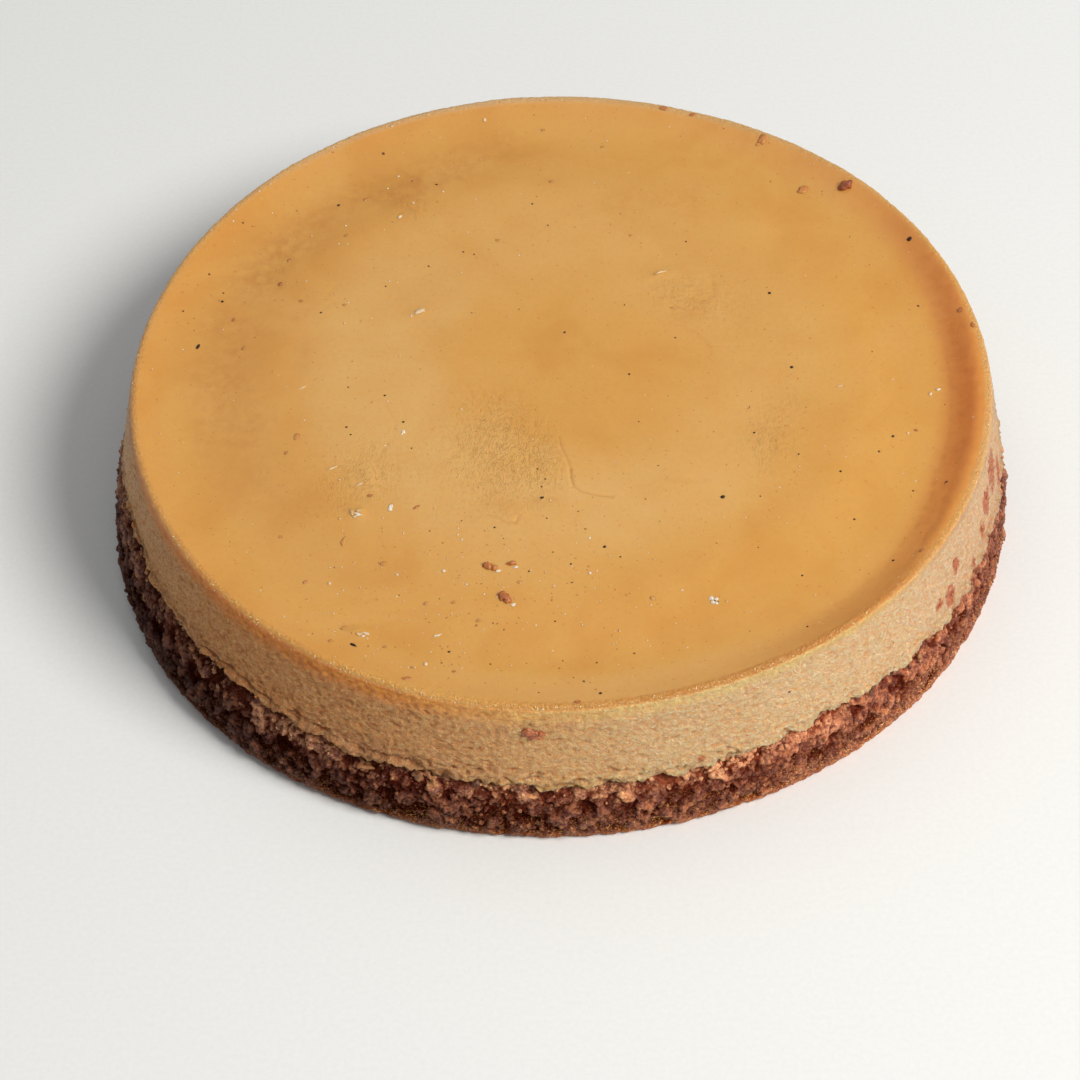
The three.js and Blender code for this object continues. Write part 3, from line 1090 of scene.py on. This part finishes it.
def lipRelief(spot, angle, height, low):
    # lips and ledges near the lower edge, and a crack above the lip at the front left
    ground = Vector((spot.x, spot.y, 0))
    lip = custard["lip"] * (0.3 + 1.6 * noise.noise(ground / 5.5))
    flat = Vector((spot.x / 7.0, spot.y / 7.0, spot.z / 1.4))
    ledge = noise.noise(flat + 0.5 * noise.noise_vector(spot / 3))
    fold = bell(away(angle, -128) / 22)
    creviceAt = seam + custard["creviceHeight"] + 1.6 * noise.noise(ground / 9)
    broken = smoothStep(noise.noise(ground / 5 + Vector((2, 6, 1))), -0.25, 0.2) * fold
    relief = low * (lip + 1.4 * ledge - bell(away(angle, -168) / 22))
    relief += 0.6 * fold * bell((height - seam - 1.4) / 1.4)
    return relief - custard["crevice"] * broken * bell((height - creviceAt) / 0.45)


def custardPoint(angle, row):
    # the custard's side: its place, its relief and its height
    radius, height = alongCurve(custardCurve, row)
    low = 1 - smoothStep(height, seam + 1.5, seam + 7)
    lift = (seamHeight(angle) - seam) * (1 - smoothStep(height, seam + 1, seam + 9))
    lift += wave(rimWaves, angle) * smoothStep(height, crest - 6, crest - custard["skinEdge"])
    spot = at(radius, angle, height + lift)
    relief = poreRelief(spot, low) + lipRelief(spot, angle, height, low)
    ground = Vector((spot.x, spot.y, 0))
    ragged = custard["ragged"] * noise.fractal(ground / 3.0 + Vector((0, 0, 4)), 0.55, 2.2, 4)
    lift += ragged * (1 - smoothStep(height, seam + 0.8, seam + 4.0))
    fading = 1 - smoothStep(row, custard["rows"] - 5, custard["rows"])
    return at(radius + relief * fading, angle, height + lift), relief, height + lift


def smearShare(angle, height):
    share = 0.0
    for place, level, wide, tall in smears:
        gap = away(angle, place) * math.radians(1) * rim
        if gap < 3 * wide and abs(height - level) < 3 * tall:
            share = max(share, bell(gap / wide, (height - level) / tall))
    return share


def makeCustard(material):
    rows = custard["rows"]
    length = curveLength(custardCurve)
    bm = bmesh.new()
    names = ("along", "relief", "skin", "smear", "pale")
    along, reliefLayer, skinLayer, smearLayer, litSideLayer = addLayers(bm, *names)
    addSleeve(bm, custard["segments"], rows, 0)
    closeEnd(bm, 0, 0.9, 96, -1)
    closeEnd(bm, rows, 0.93, 96, 1)
    for vert in bm.verts:
        row = round(vert.co.z)
        angle = math.atan2(vert.co.y, vert.co.x)
        if row < 0 or row > rows:
            layDisc(vert, along, custardCurve, row, angle, length, custard["topSink"])
            continue
        spot, relief, height = custardPoint(angle, row)
        vert[along] = row / rows * length
        vert[reliefLayer] = relief
        vert[skinLayer] = skinCover(angle, height)
        broken = 0.85 + 1.1 * noise.noise(spot / 1.3)
        vert[smearLayer] = 0.95 * smoothStep(smearShare(angle, height) * broken, 0.12, 0.36)
        vert[litSideLayer] = litSideShare(angle)
        vert.co = spot * mm
    stripMap(bm, along, custard["strips"], length)
    register(writePiece(bm, "custardBody", material), "custard", "custard_layer")


def crestBead(x, y):
    spot = Vector((x, y, 0))
    return noise.noise(spot / 1.1) + 0.7 * noise.noise(spot / 3.1)


def addSkinRings(bm, rimRows):
    # the rows run up over the crest and inwards; each inner zone has half as many segments as the last
    outerRows, step = skin["outerRows"], skin["innerStep"]
    radii = {row: rim - (row - outerRows) * skin["rimStep"] for row in range(outerRows + 1, rimRows + 1)}
    segments = custard["segments"]
    addSleeve(bm, segments, rimRows, 0)
    radius = radii[rimRows] - step * 0.8
    start = rimRows + 1
    while radius > 6:
        segments //= 2
        zoneRows = max(int(radius * (0.5 if radius > 20 else 0.6) / step), 2)
        addSleeve(bm, segments, zoneRows, start)
        for ring in range(zoneRows + 1):
            radii[start + ring] = radius - ring * step
        bmesh.ops.bridge_loops(bm, edges=openLoop(bm, start - 1) + openLoop(bm, start))
        radius = radii[start + zoneRows] - step
        start += zoneRows + 1
    radii[start] = radius
    closeEnd(bm, start - 1, 0.8, 24, 1)
    closeEnd(bm, 0, 0.97, 240, -1)
    return radii


def laySkin(bm, rowLayer, radii):
    # the outer rows follow the crest's outline, and the inner ones lie flat until they get their height
    for vert in bm.verts:
        row = round(vert.co.z)
        angle = math.atan2(vert.co.y, vert.co.x)
        share = vert.co.xy.length
        vert[rowLayer] = row
        if row < 0:
            vert.co = at((rim - 2.0) * share, angle, crest - skin["thickness"]) * mm
        elif row <= skin["outerRows"]:
            radius, height = crestCurve[row]
            wide = at(radius, angle, height + wave(rimWaves, angle))
            push = skin["wobble"] * crestBead(wide.x, wide.y) * smoothStep(row, 3, 7)
            vert.co = at(radius + push, angle, wide.z + 0.6 * push) * mm
        else:
            vert.co = at(radii[row] * share, angle, 0) * mm


def splitCreases(bm, rowLayer, rimRows):
    # finer mesh along the sharp creases
    fine = []
    for edge in bm.edges:
        if edge.verts[0][rowLayer] > rimRows and edge.verts[1][rowLayer] > rimRows:
            x, y = ((edge.verts[0].co + edge.verts[1].co) / 2 / mm).xy
            if abs(x) < 60 and any(creaseAway(x, y, points) < 1.3 for points, _, _ in sharpCreases):
                fine.append(edge)
    bmesh.ops.subdivide_edges(bm, edges=fine, cuts=2, use_grid_fill=True)


def finishTop(vert, layers):
    # the height of the top, its haze and painted light, stains and painted shade, wrinkles, creases with
    # painted shade, slope with painted shade and crest with painted highlight
    x, y = vert.co.x / mm, vert.co.y / mm
    radius, angle = polar(x, y)
    nearCrest = 1 - smoothStep(rim - radius, 0.5, 4.5)
    vert.co.z = (skinHeight(x, y) + 0.6 * skin["wobble"] * crestBead(x, y) * nearCrest) * mm
    vert[layers["haze"]] = hazeAndLightShare(x, y)
    vert[layers["stain"]] = stainAndShadeShare(x, y)
    vert[layers["wrinkle"]] = wrinkleShare(x, y)
    vert[layers["crease"]] = max(creaseShade(x, y), foldShade(radius, angle, Vector((x, y, 2))))
    # the crest's band, which carries painted highlight, is wider at the back
    crestWidth = 1.3 + 1.4 * (1 - smoothStep(away(angle, 95), 25, 65))
    vert[layers["crest"]] = 0.8 * smoothStep(radius, rim - crestWidth, rim - 0.2)
    # the right inner slope darker, partly painted shade
    start, end = slopeEnds(angle)
    slope = smoothStep(radius, start, end - 4) * (1 - 0.5 * smoothStep(radius, end - 2.5, end + 1))
    vert[layers["rimShade"]] = slope * (0.1 + 0.9 * bell(away(angle, -6) / 38))


def finishOutside(vert, layers):
    # outside the crest the skin fades into the side
    height = vert.co.z / mm
    angle = math.atan2(vert.co.y, vert.co.x)
    vert[layers["pale"]] = litSideShare(angle)
    vert[layers["skin"]] = skinCover(angle, height)
    nearTop = smoothStep(vert[layers["row"]], 8, skin["outerRows"])
    # the golden crest colour, with its painted highlight, runs a little down the outside
    vert[layers["crest"]] = smoothStep(height, crest - 1.5, crest - 0.7) * (1 - 0.2 * nearTop)


def mapSkin(bm, uv):
    # the top as seen from above; the hidden faces below go small into a corner
    reach = (rim + 2.5) * mm
    for face in bm.faces:
        under = face.calc_center_median().z < (crest - 5.5) * mm
        share, middle = (0.13, 0.066) if under else (0.99, 0.5)
        for loop in face.loops:
            loop[uv].uv = loop.vert.co.xy / reach / 2 * share + Vector((middle, middle))


def makeSkin(material):
    rimRows = skin["outerRows"] + skin["rimRows"]
    bm = bmesh.new()
    names = ("row", "skin", "pale", "rimShade", "haze", "stain", "wrinkle", "crease", "crest")
    layers = dict(zip(names, addLayers(bm, *names)))
    uv = bm.loops.layers.uv.new("OFBake")
    radii = addSkinRings(bm, rimRows)
    laySkin(bm, layers["row"], radii)
    splitCreases(bm, layers["row"], rimRows)
    for vert in bm.verts:
        vert[layers["skin"]] = 1.0
        if vert[layers["row"]] > skin["outerRows"]:
            finishTop(vert, layers)
        elif vert[layers["row"]] >= 0:
            finishOutside(vert, layers)
    mapSkin(bm, uv)
    register(writePiece(bm, "caramelSkin", material), "caramel_skin", "custard_layer")


custardLook = custardMaterial()
makeCustard(custardLook)
makeSkin(custardLook)


# specks, seeds and crumbs on the top and the side: how many are scattered, and the band of the beads
specks = {
    "darkSeeds": 90,
    "paleSpecksAndGlints": 420,
    "brownCrumbs": 120,
    "sideCrumbs": 50,
    "custardCrumbs": 420,
    "crestBeadsAndGlints": 1300,
    "beadPlace": (0.85, 0.6),  # millimetres outside the crest, and their spread
    "beadLimits": (-0.6, 2.1),
}
# roughness, specular, softness, and colours by tint
speckLooks = {
    "darkSeed": (0.4, 0.4, 0.0, [(0.0, (0.010, 0.005, 0.004)), (0.35, (0.09, 0.030, 0.012)),
                                 (0.8, (0.30, 0.10, 0.022))]),
    # pale specks, partly painted glints
    "paleSpeckAndGlint": (0.35, 0.5, 0.2, [(0.35, (0.70, 0.40, 0.15)), (0.65, (0.78, 0.52, 0.29)),
                                   (0.95, (0.85, 0.72, 0.56))]),
    "brownCrumb": (0.25, 0.55, 0.3, [(0.0, (0.16, 0.028, 0.010)), (0.35, (0.36, 0.095, 0.034)),
                                     (0.65, (0.52, 0.185, 0.045)), (1.0, (0.66, 0.31, 0.075))]),
    # the palest bead tints are painted glints
    "crestBead": (0.18, 0.8, 0.2, [(0.1, (0.74, 0.36, 0.09)), (0.5, (0.81, 0.45, 0.14)),
                                   (0.9, (0.89, 0.62, 0.29))]),
    "custardCrumb": (0.35, 0.45, 0.2, [(0.1, (0.15, 0.048, 0.022)), (0.5, (0.26, 0.098, 0.040)),
                                       (0.9, (0.44, 0.190, 0.070))]),
}


def lumpMaterial(name):
    roughness, specular, soft, stops = speckLooks[name]
    material, tree, shader = newMaterial(name)
    grain = noiseField(tree, objectSpace(tree), 0.5, 3, 0.6)
    shade = plus(tree, attribute(tree, "tint"), between(tree, grain, 0.2, 0.8, (-0.14, 0.14)))
    tree.links.new(ramp(tree, shade, *stops), shader.inputs["Base Color"])
    setSurface(shader, roughness, specular, soft, (1, 0.5, 0.25), 0.0012)
    addBump(tree, shader, grain, 0.5, 0.3)
    return material


def layOnTop(spots, level, rise, rough=0.25):
    # each spot: x, y, long, wide, turn in degrees, tint
    lumps = []
    innerRim = rim - 0.7
    for x, y, long, wide, turn, tint in spots:
        radius, angle = polar(x, y)
        if radius > innerRim:
            x, y = at(innerRim, angle, 0).xy
        high = rise * (long + wide) / 2
        place = Vector((x, y, skinHeight(x, y) + 0.12 * high))
        small = level if max(long, wide) > 0.85 else 1
        tilt = Vector((0, 0, 1)).rotation_difference(skinNormal(x, y)).to_matrix()
        facing = tilt @ Matrix.Rotation(math.radians(turn), 3, "Z")
        lumps.append((place, (long, wide, high), facing, small, rough, (tint,)))
    return lumps


def scatter(draw, count, low, high, tints):
    # seeded specks, half of them at the front left and more along the rim
    spots = []
    while len(spots) < count:
        kind = draw.random()
        if kind < 0.5:
            x, y = draw.gauss(-24, 27), draw.gauss(-78, 17)
        elif kind < 0.72:
            angle = draw.uniform(-math.pi, math.pi)
            x, y = at(draw.uniform(98, 112.5), angle, 0).xy
        else:
            x, y = draw.uniform(-105, 105), draw.uniform(-105, 105)
        if polar(x, y)[0] > rim - 1.2:
            continue
        size = low + (high - low) * draw.random() ** 2.5
        spots.append((x, y, size * draw.uniform(1.0, 1.6), size, draw.uniform(0, 180), draw.uniform(*tints)))
    return spots


# dark seeds on the top: x, y, size
seeds = [
    (-47.1, -7.1, 0.9), (-41.9, -17.0, 1.0), (-56.9, -18.5, 0.9), (-55.7, -21.3, 0.8), (-65.5, 25.2, 0.9),
    (1.4, 15.8, 1.0), (18.5, -0.7, 1.0), (-17.8, -55.0, 0.9), (10.1, -61.9, 1.1), (14.0, -65.4, 0.8),
    (1.4, -67.6, 0.8), (1.5, -73.8, 0.7), (-2.9, -85.8, 0.8), (-9.2, -69.9, 0.7), (-3.1, -63.6, 0.6),
    (-29.1, -94.6, 1.0), (-18.9, -98.8, 0.7), (16.4, -96.0, 0.8), (7.7, -109.7, 1.1), (58.3, 29.9, 1.2),
    (62.3, 0.9, 1.2), (50.6, -23.1, 0.9), (61.7, -31.1, 0.8), (72.1, -37.4, 1.0), (74.3, -53.3, 1.0),
    (41.0, -45.8, 1.6), (50.7, -45.6, 0.7), (87.1, -24.4, 1.1), (24.8, -34.4, 0.6), (99.1, -41.8, 1.0),
    (36.9, -79.7, 0.9), (37.9, -80.0, 0.6), (82.8, -67.6, 0.9), (59.5, -71.8, 0.9), (49.0, -63.0, 0.6),
    (59.4, -89.1, 0.8), (-34.3, 78.1, 1.0), (-62.4, 70.5, 1.2), (-93.1, 31.3, 1.1), (-6.8, 68.5, 0.9),
    (99.1, 50.0, 1.9),
]
brownSeeds = [
    (-39.5, -26.6, 0.8), (-57.0, -3.7, 0.8), (3.8, -105.2, 0.9), (7.1, -98.8, 0.8), (82.9, -30.1, 1.0),
    (50.0, -13.6, 0.7), (99.1, 25.2, 1.0), (31.5, 13.1, 0.9), (90.5, -43.4, 0.8), (-50.0, 91.7, 1.2),
    (-97.3, 41.3, 0.9), (-103.5, 26.6, 0.9), (-93.0, 34.6, 0.8), (-47.9, 35.3, 0.8), (-26.4, 48.9, 0.9),
    (-23.4, 47.7, 0.8), (-36.1, 43.2, 1.0), (-89.1, 61.7, 0.9), (-2.5, 59.3, 0.8), (36.3, 51.5, 0.9),
    (-6.6, -34.8, 0.8), (-4.6, -38.4, 0.8), (-5.6, -41.0, 0.8), (18.1, 26.1, 0.7), (20.4, -18.3, 0.7),
]
# long ones, and all the longer specks below: x, y, long, wide, turn in degrees, tint
longSeeds = [
    (-52.7, -92.6, 1.7, 0.8, -25, 0.0), (-98.6, 13.5, 1.9, 0.9, 70, 0.05), (-5.6, -44.9, 1.2, 0.7, 15, 0.02),
]
paleSpots = [
    (-40.6, 23.1, 1.2), (-58.8, 20.7, 1.3), (-43.5, 7.8, 1.0), (-73.6, -3.0, 0.9), (-46.3, -9.2, 0.9),
    (-46.6, -25.4, 0.9), (-26.6, -12.6, 0.8), (-68.2, -15.7, 0.8), (-58.1, -37.3, 0.9), (-57.5, -50.9, 1.0),
    (-56.7, -55.0, 0.9), (-26.2, -58.9, 1.2), (6.3, -58.9, 1.2), (19.0, -59.4, 0.8), (9.9, -48.1, 0.8),
    (-30.7, -69.2, 1.7), (-42.4, -69.9, 1.2), (-59.4, -72.0, 1.5), (-25.0, -73.7, 0.9), (-20.5, -77.1, 1.0),
    (-57.4, -75.4, 0.9), (-2.9, -74.6, 0.9), (-0.4, -83.6, 0.9), (3.8, -87.1, 1.2), (-7.7, -86.9, 0.9),
    (13.0, -88.9, 1.1), (11.2, -93.0, 0.9), (-34.8, -98.8, 1.8), (-37.4, -100.1, 1.1), (-57.9, -81.8, 0.9),
    (-28.6, -82.7, 1.0), (-35.0, -82.5, 0.9), (-31.9, -82.9, 0.9), (11.2, -65.0, 0.8), (6.1, -70.7, 1.2),
    (-6.6, -73.0, 0.8), (68.7, 36.7, 0.9), (91.2, -23.1, 1.1), (89.2, -3.3, 0.8), (73.9, -32.3, 0.9),
    (61.6, -35.5, 0.8), (55.9, -42.6, 0.9), (46.4, -53.0, 0.9), (40.9, -52.7, 0.8), (54.9, -53.0, 0.8),
    (68.8, -28.4, 0.8), (91.5, -40.1, 0.9), (29.0, -76.5, 0.9), (40.0, -80.0, 0.9), (-44.6, 63.9, 1.8),
    (-40.9, 69.6, 1.3), (-48.4, 77.1, 1.1), (-45.5, 82.4, 1.0), (-32.5, 74.6, 1.2), (-23.0, 70.9, 1.0),
    (-25.2, 57.0, 0.9), (-20.5, 105.5, 1.8), (-26.8, 40.4, 0.9), (-46.9, 37.4, 0.9), (-51.4, 22.7, 0.9),
    (-60.0, 61.1, 1.1), (-61.6, 53.2, 1.0), (-59.1, 52.9, 0.9), (-69.5, 57.5, 1.0), (-70.2, 38.1, 1.0),
    (-61.9, 32.6, 0.9), (-58.0, 29.1, 0.9), (-92.3, 20.2, 1.0), (-47.7, 101.9, 1.2), (-64.7, 92.9, 1.3),
    (-82.1, 76.9, 1.4), (-85.0, 73.9, 1.0), (-91.2, 66.0, 1.2), (-91.8, 61.8, 1.0), (98.7, -8.7, 1.4),
    (101.0, -7.2, 1.5), (-3.4, -45.9, 1.0),
]
longPale = [
    (-38.1, 25.1, 3.0, 1.5, 20, 0.7), (-69.3, -3.6, 2.8, 0.4, 35, 0.6), (-41.9, -20.7, 2.0, 0.9, 80, 1.0),
    (-60.0, -33.2, 2.6, 0.4, 25, 0.65), (-52.8, -39.1, 2.4, 0.4, 20, 0.65),
    (-44.6, -47.5, 2.2, 1.0, 75, 1.0), (-54.3, -49.2, 1.8, 1.2, -40, 0.42),
    (-53.0, -49.9, 1.3, 0.9, -20, 0.95), (-52.6, -48.8, 1.3, 1.0, 10, 0.4), (-53.8, -50.4, 1.2, 0.8, 0, 0.45),
    (-52.1, -50.0, 0.8, 0.6, 0, 0.9), (-49.7, -88.6, 1.9, 1.0, -10, 0.7),
    (-51.3, -89.1, 1.3, 0.8, 0, 0.5), (-50.4, -89.6, 0.9, 0.6, 0, 0.8), (-32.1, -89.3, 1.8, 0.7, 15, 0.8),
    # painted highlights: the long speck at 28.6, 38.6 and the three beside the glossy lumps at the front left
    (28.6, 38.6, 3.0, 0.7, 15, 0.5), (74.6, -6.4, 1.4, 0.6, 30, 0.5), (-17.0, -69.6, 1.2, 0.7, 10, 1.0),
    (-12.6, -68.4, 1.1, 0.6, 5, 1.0), (-13.2, -80.6, 1.2, 0.7, 20, 1.0), (36.3, -79.0, 1.2, 1.0, 0, 1.0),
    (37.5, -79.2, 1.1, 0.9, 40, 0.95), (36.6, -80.1, 1.2, 0.9, 80, 0.9), (37.4, -80.4, 1.0, 0.8, 0, 0.95),
]
brownSpots = [
    (-69.9, -21.6, 2.3, 1.4, 70, 0.5), (-50.0, -43.1, 1.3, 1.0, 0, 0.3), (-46.1, -66.2, 1.5, 1.1, 20, 0.5),
    (-56.3, -58.7, 2.8, 1.3, 75, 0.7), (-72.5, -56.0, 1.2, 0.9, 0, 0.5), (-37.9, -47.4, 2.2, 0.7, 40, 0.3),
    (-65.4, -71.3, 1.5, 1.1, 30, 0.5), (-35.0, -79.3, 1.3, 1.0, 0, 0.5), (-28.1, -79.3, 1.2, 0.9, 0, 0.5),
    (-21.9, -85.1, 1.3, 0.9, 0, 0.5), (-55.0, -86.8, 2.0, 1.4, 20, 0.6), (-44.9, -92.9, 1.2, 0.9, 0, 0.5),
    (-58.3, -91.6, 1.3, 1.0, 0, 0.5), (-39.2, -104.4, 2.2, 1.1, 10, 0.35), (-27.9, -101.4, 1.0, 0.8, 0, 0.3),
    (21.6, -79.0, 1.6, 1.1, 0, 0.6), (-11.6, -73.4, 1.3, 1.0, 0, 0.6), (-72.4, -27.4, 1.3, 0.9, 60, 0.4),
    (-54.6, 72.6, 1.8, 1.2, 30, 0.5), (-40.9, 80.0, 1.6, 1.1, 10, 0.5), (-75.4, 47.4, 1.6, 1.1, 60, 0.4),
    (-77.3, 37.6, 1.5, 1.2, 80, 0.2), (-71.2, 30.0, 1.3, 1.0, 0, 0.4), (-59.1, 28.1, 1.2, 1.0, 0, 0.5),
    (-86.1, 12.5, 1.3, 1.0, 70, 0.4), (-16.8, 53.4, 1.3, 1.0, 0, 0.5), (-59.6, 56.6, 1.5, 1.0, 20, 0.5),
    (-1.3, 78.0, 1.5, 1.0, 0, 0.4), (14.0, 94.0, 1.4, 1.0, 0, 0.5), (20.8, 54.5, 1.2, 0.9, 0, 0.5),
    (-3.3, 101.6, 1.4, 1.0, 0, 0.5), (32.8, 109.0, 2.2, 1.4, 0, 0.3), (41.1, 105.7, 1.8, 1.2, 0, 0.3),
    (109.8, 20.3, 1.8, 1.4, 80, 0.25), (90.1, -66.0, 1.6, 1.1, 50, 0.3), (2.2, -113.0, 1.8, 1.2, 0, 0.25),
    (-89.5, 24.0, 1.4, 1.0, 80, 0.3), (93.4, -22.0, 1.0, 0.8, 0, 0.2), (71.0, 73.3, 3.6, 2.4, 40, 0.45),
    (60.6, 93.3, 3.6, 2.2, 70, 0.42), (59.4, 91.9, 1.6, 1.3, 20, 0.6), (112.6, 14.0, 2.0, 1.3, 85, 0.3),
]
glossyLumps = [
    (-19.5, -68.0, 2.5, 2.0, 0, 0.60), (-17.9, -68.5, 1.9, 1.7, 0, 0.66), (-13.4, -67.3, 2.5, 1.3, 5, 0.62),
    (-15.6, -78.0, 2.7, 2.5, 30, 0.48), (-14.5, -79.3, 2.0, 1.8, 0, 0.52), (83.3, 72.4, 3.6, 3.2, 30, 0.30),
    (81.8, 71.9, 1.8, 1.5, 0, 0.42),
]


def makeTopSpecks():
    draw = random.Random(21)
    lumps = layOnTop([(x, y, size * 0.78, size * 0.66, 30, 0.05) for x, y, size in seeds], 2, 0.5)
    lumps += layOnTop([(x, y, size * 0.8, size * 0.7, 120, 0.5) for x, y, size in brownSeeds], 2, 0.45)
    lumps += layOnTop(longSeeds, 2, 0.4)
    lumps += layOnTop(scatter(draw, specks["darkSeeds"], 0.22, 0.42, (0.25, 0.8)), 1, 0.45)
    makeLumps("darkSeeds", lumpMaterial("darkSeed"), "dark_speck", draw, ("tint",), lumps)
    # pale specks, partly painted glints
    pale = [
        (x, y, size * draw.uniform(0.6, 0.85), size * 0.55, draw.uniform(0, 180), draw.uniform(0.55, 0.95))
        for x, y, size in paleSpots
    ]
    lumps = layOnTop(pale, 2, 0.5, 0.4) + layOnTop(longPale, 3, 0.24, 0.5)
    lumps += layOnTop(scatter(draw, specks["paleSpecksAndGlints"], 0.26, 0.55, (0.35, 0.85)), 1, 0.5)
    makeLumps("paleSpecksAndGlints", lumpMaterial("paleSpeckAndGlint"), "pale_speck", draw, ("tint",), lumps)
    brown = [(x, y, long, wide, turn, min(tint + 0.3, 0.95)) for x, y, long, wide, turn, tint in brownSpots]
    lumps = layOnTop(brown, 3, 0.22, 0.3) + layOnTop(glossyLumps, 3, 0.65, 0.3)
    lumps += layOnTop(scatter(draw, specks["brownCrumbs"], 0.3, 0.6, (0.5, 0.95)), 1, 0.4)
    lumps += sideCrumbs(draw)
    makeLumps("brownCrumbs", lumpMaterial("brownCrumb"), "crumb", draw, ("tint",), lumps)
    beads = crestLumps(draw)
    makeLumps("crestBeadsAndGlints", lumpMaterial("crestBead"), "caramel_skin", draw, ("tint",), beads)


def crestLumps(draw):
    # beads along the crest, a third of them gathered at the front; their palest tints are painted glints
    lumps = []
    least, most = specks["beadLimits"]
    rowStep = 0.33  # height of a row of the crest's mesh
    for count in range(specks["crestBeadsAndGlints"]):
        angle = draw.uniform(-math.pi, math.pi) if count % 3 else math.radians(draw.gauss(-85, 28))
        offset = min(max(draw.gauss(*specks["beadPlace"]), least), most)
        size = 0.24 + 0.26 * draw.random() ** 2
        if offset <= 0:
            x, y = at(rim + offset, angle, 0).xy
            place = Vector((x, y, skinHeight(x, y)))
        else:
            radius, height = alongCurve(crestCurve, skin["outerRows"] - offset / rowStep)
            place = at(radius, angle, height + wave(rimWaves, angle))
        lean = max(offset, 0)
        outward = Vector((math.cos(angle) * lean, math.sin(angle) * lean, 1)).normalized()
        shape = (size * 1.2, size, size * 0.6)
        lumps.append((place, shape, facingOut(outward, draw.uniform(0, 360)), 1, 0.3, (draw.random(),)))
    return lumps


def sideSpot(angle, height):
    # the place on the custard's side at a height
    rows = range(8, custard["rows"])
    row = next((row for row in rows if custardPoint(angle, row)[2] >= height), custard["rows"])
    return custardPoint(angle, row)[0]


# the crumb below the front crest and one at its right: degrees round, height, size, tint
frontCrumbs = [(-94.9, 36.3, 2.7, 0.42), (-94.0, 35.6, 1.9, 0.36), (-94.5, 34.7, 1.6, 0.30),
               (-93.4, 35.8, 1.3, 0.5), (-62, 33, 0.7, 0.0)]


def sideCrumbs(draw):
    # the front crumbs, two small ones by each smear, and more low on the side
    crumbs = list(frontCrumbs)
    for place, level, wide, tall in smears:
        for _ in range(2):
            turn = place + draw.gauss(0, 0.2 * wide)
            height = level + draw.gauss(0, 0.4 * tall)
            crumbs.append((turn, height, draw.uniform(0.5, 1.1), draw.uniform(0.35, 0.6)))
    for _ in range(specks["sideCrumbs"]):
        turn = draw.uniform(-180, 180)
        height = seamHeight(math.radians(turn)) + 1.5 + 12 * draw.random() ** 1.8
        crumbs.append((turn, height, 0.4 + 0.5 * draw.random() ** 2, draw.uniform(0.4, 0.9)))
    lumps = []
    for turn, height, size, tint in crumbs:
        angle = math.radians(turn)
        outward = Vector((math.cos(angle), math.sin(angle), 0.1)).normalized()
        spot = sideSpot(angle, height) + 0.1 * size * outward
        facing = facingOut(outward, draw.uniform(0, 360))
        level = 3 if size > 1.4 else 1
        lumps.append((spot, (size * 1.1, size, size * 0.6), facing, level, 0.4, (tint,)))
    return lumps


# larger bits of custard fallen along the seam: degrees round, size
seamBits = [(-122, 2.2), (-119.5, 1.5), (-115, 2.6), (-112.8, 1.8), (-108, 2.4), (-106.2, 1.5),
            (-104.8, 2.0), (-96, 1.6), (-84, 1.7), (-50, 1.6), (-41, 1.4), (-140, 1.6), (-160, 1.8)]


def makeCustardCrumbs():
    # tan bits of custard along the seam, the small ones scattered
    draw = random.Random(5)
    rows = sponge["rows"]
    bits = [(place, rows - draw.uniform(4, 9), size) for place, size in seamBits]
    for _ in range(specks["custardCrumbs"]):
        bits.append((draw.uniform(-180, 180), rows - 1 - 7 * draw.random() ** 1.5, 0.6 + draw.random()))
    lumps = []
    for place, row, size in bits:
        angle = math.radians(place)
        outward = Vector((math.cos(angle), math.sin(angle), 0.3)).normalized()
        spot = spongePoint(angle, row)[0] - outward * size * 0.05
        shape = (size * 1.25, size * 0.9, size * 0.8)
        facing = facingOut(outward, draw.uniform(0, 360))
        level = 3 if size > 1.2 else 1
        lumps.append((spot, shape, facing, level, 0.75, (draw.random(),)))
    makeLumps("custardCrumbs", lumpMaterial("custardCrumb"), "custard", draw, ("tint",), lumps)


makeTopSpecks()
makeCustardCrumbs()
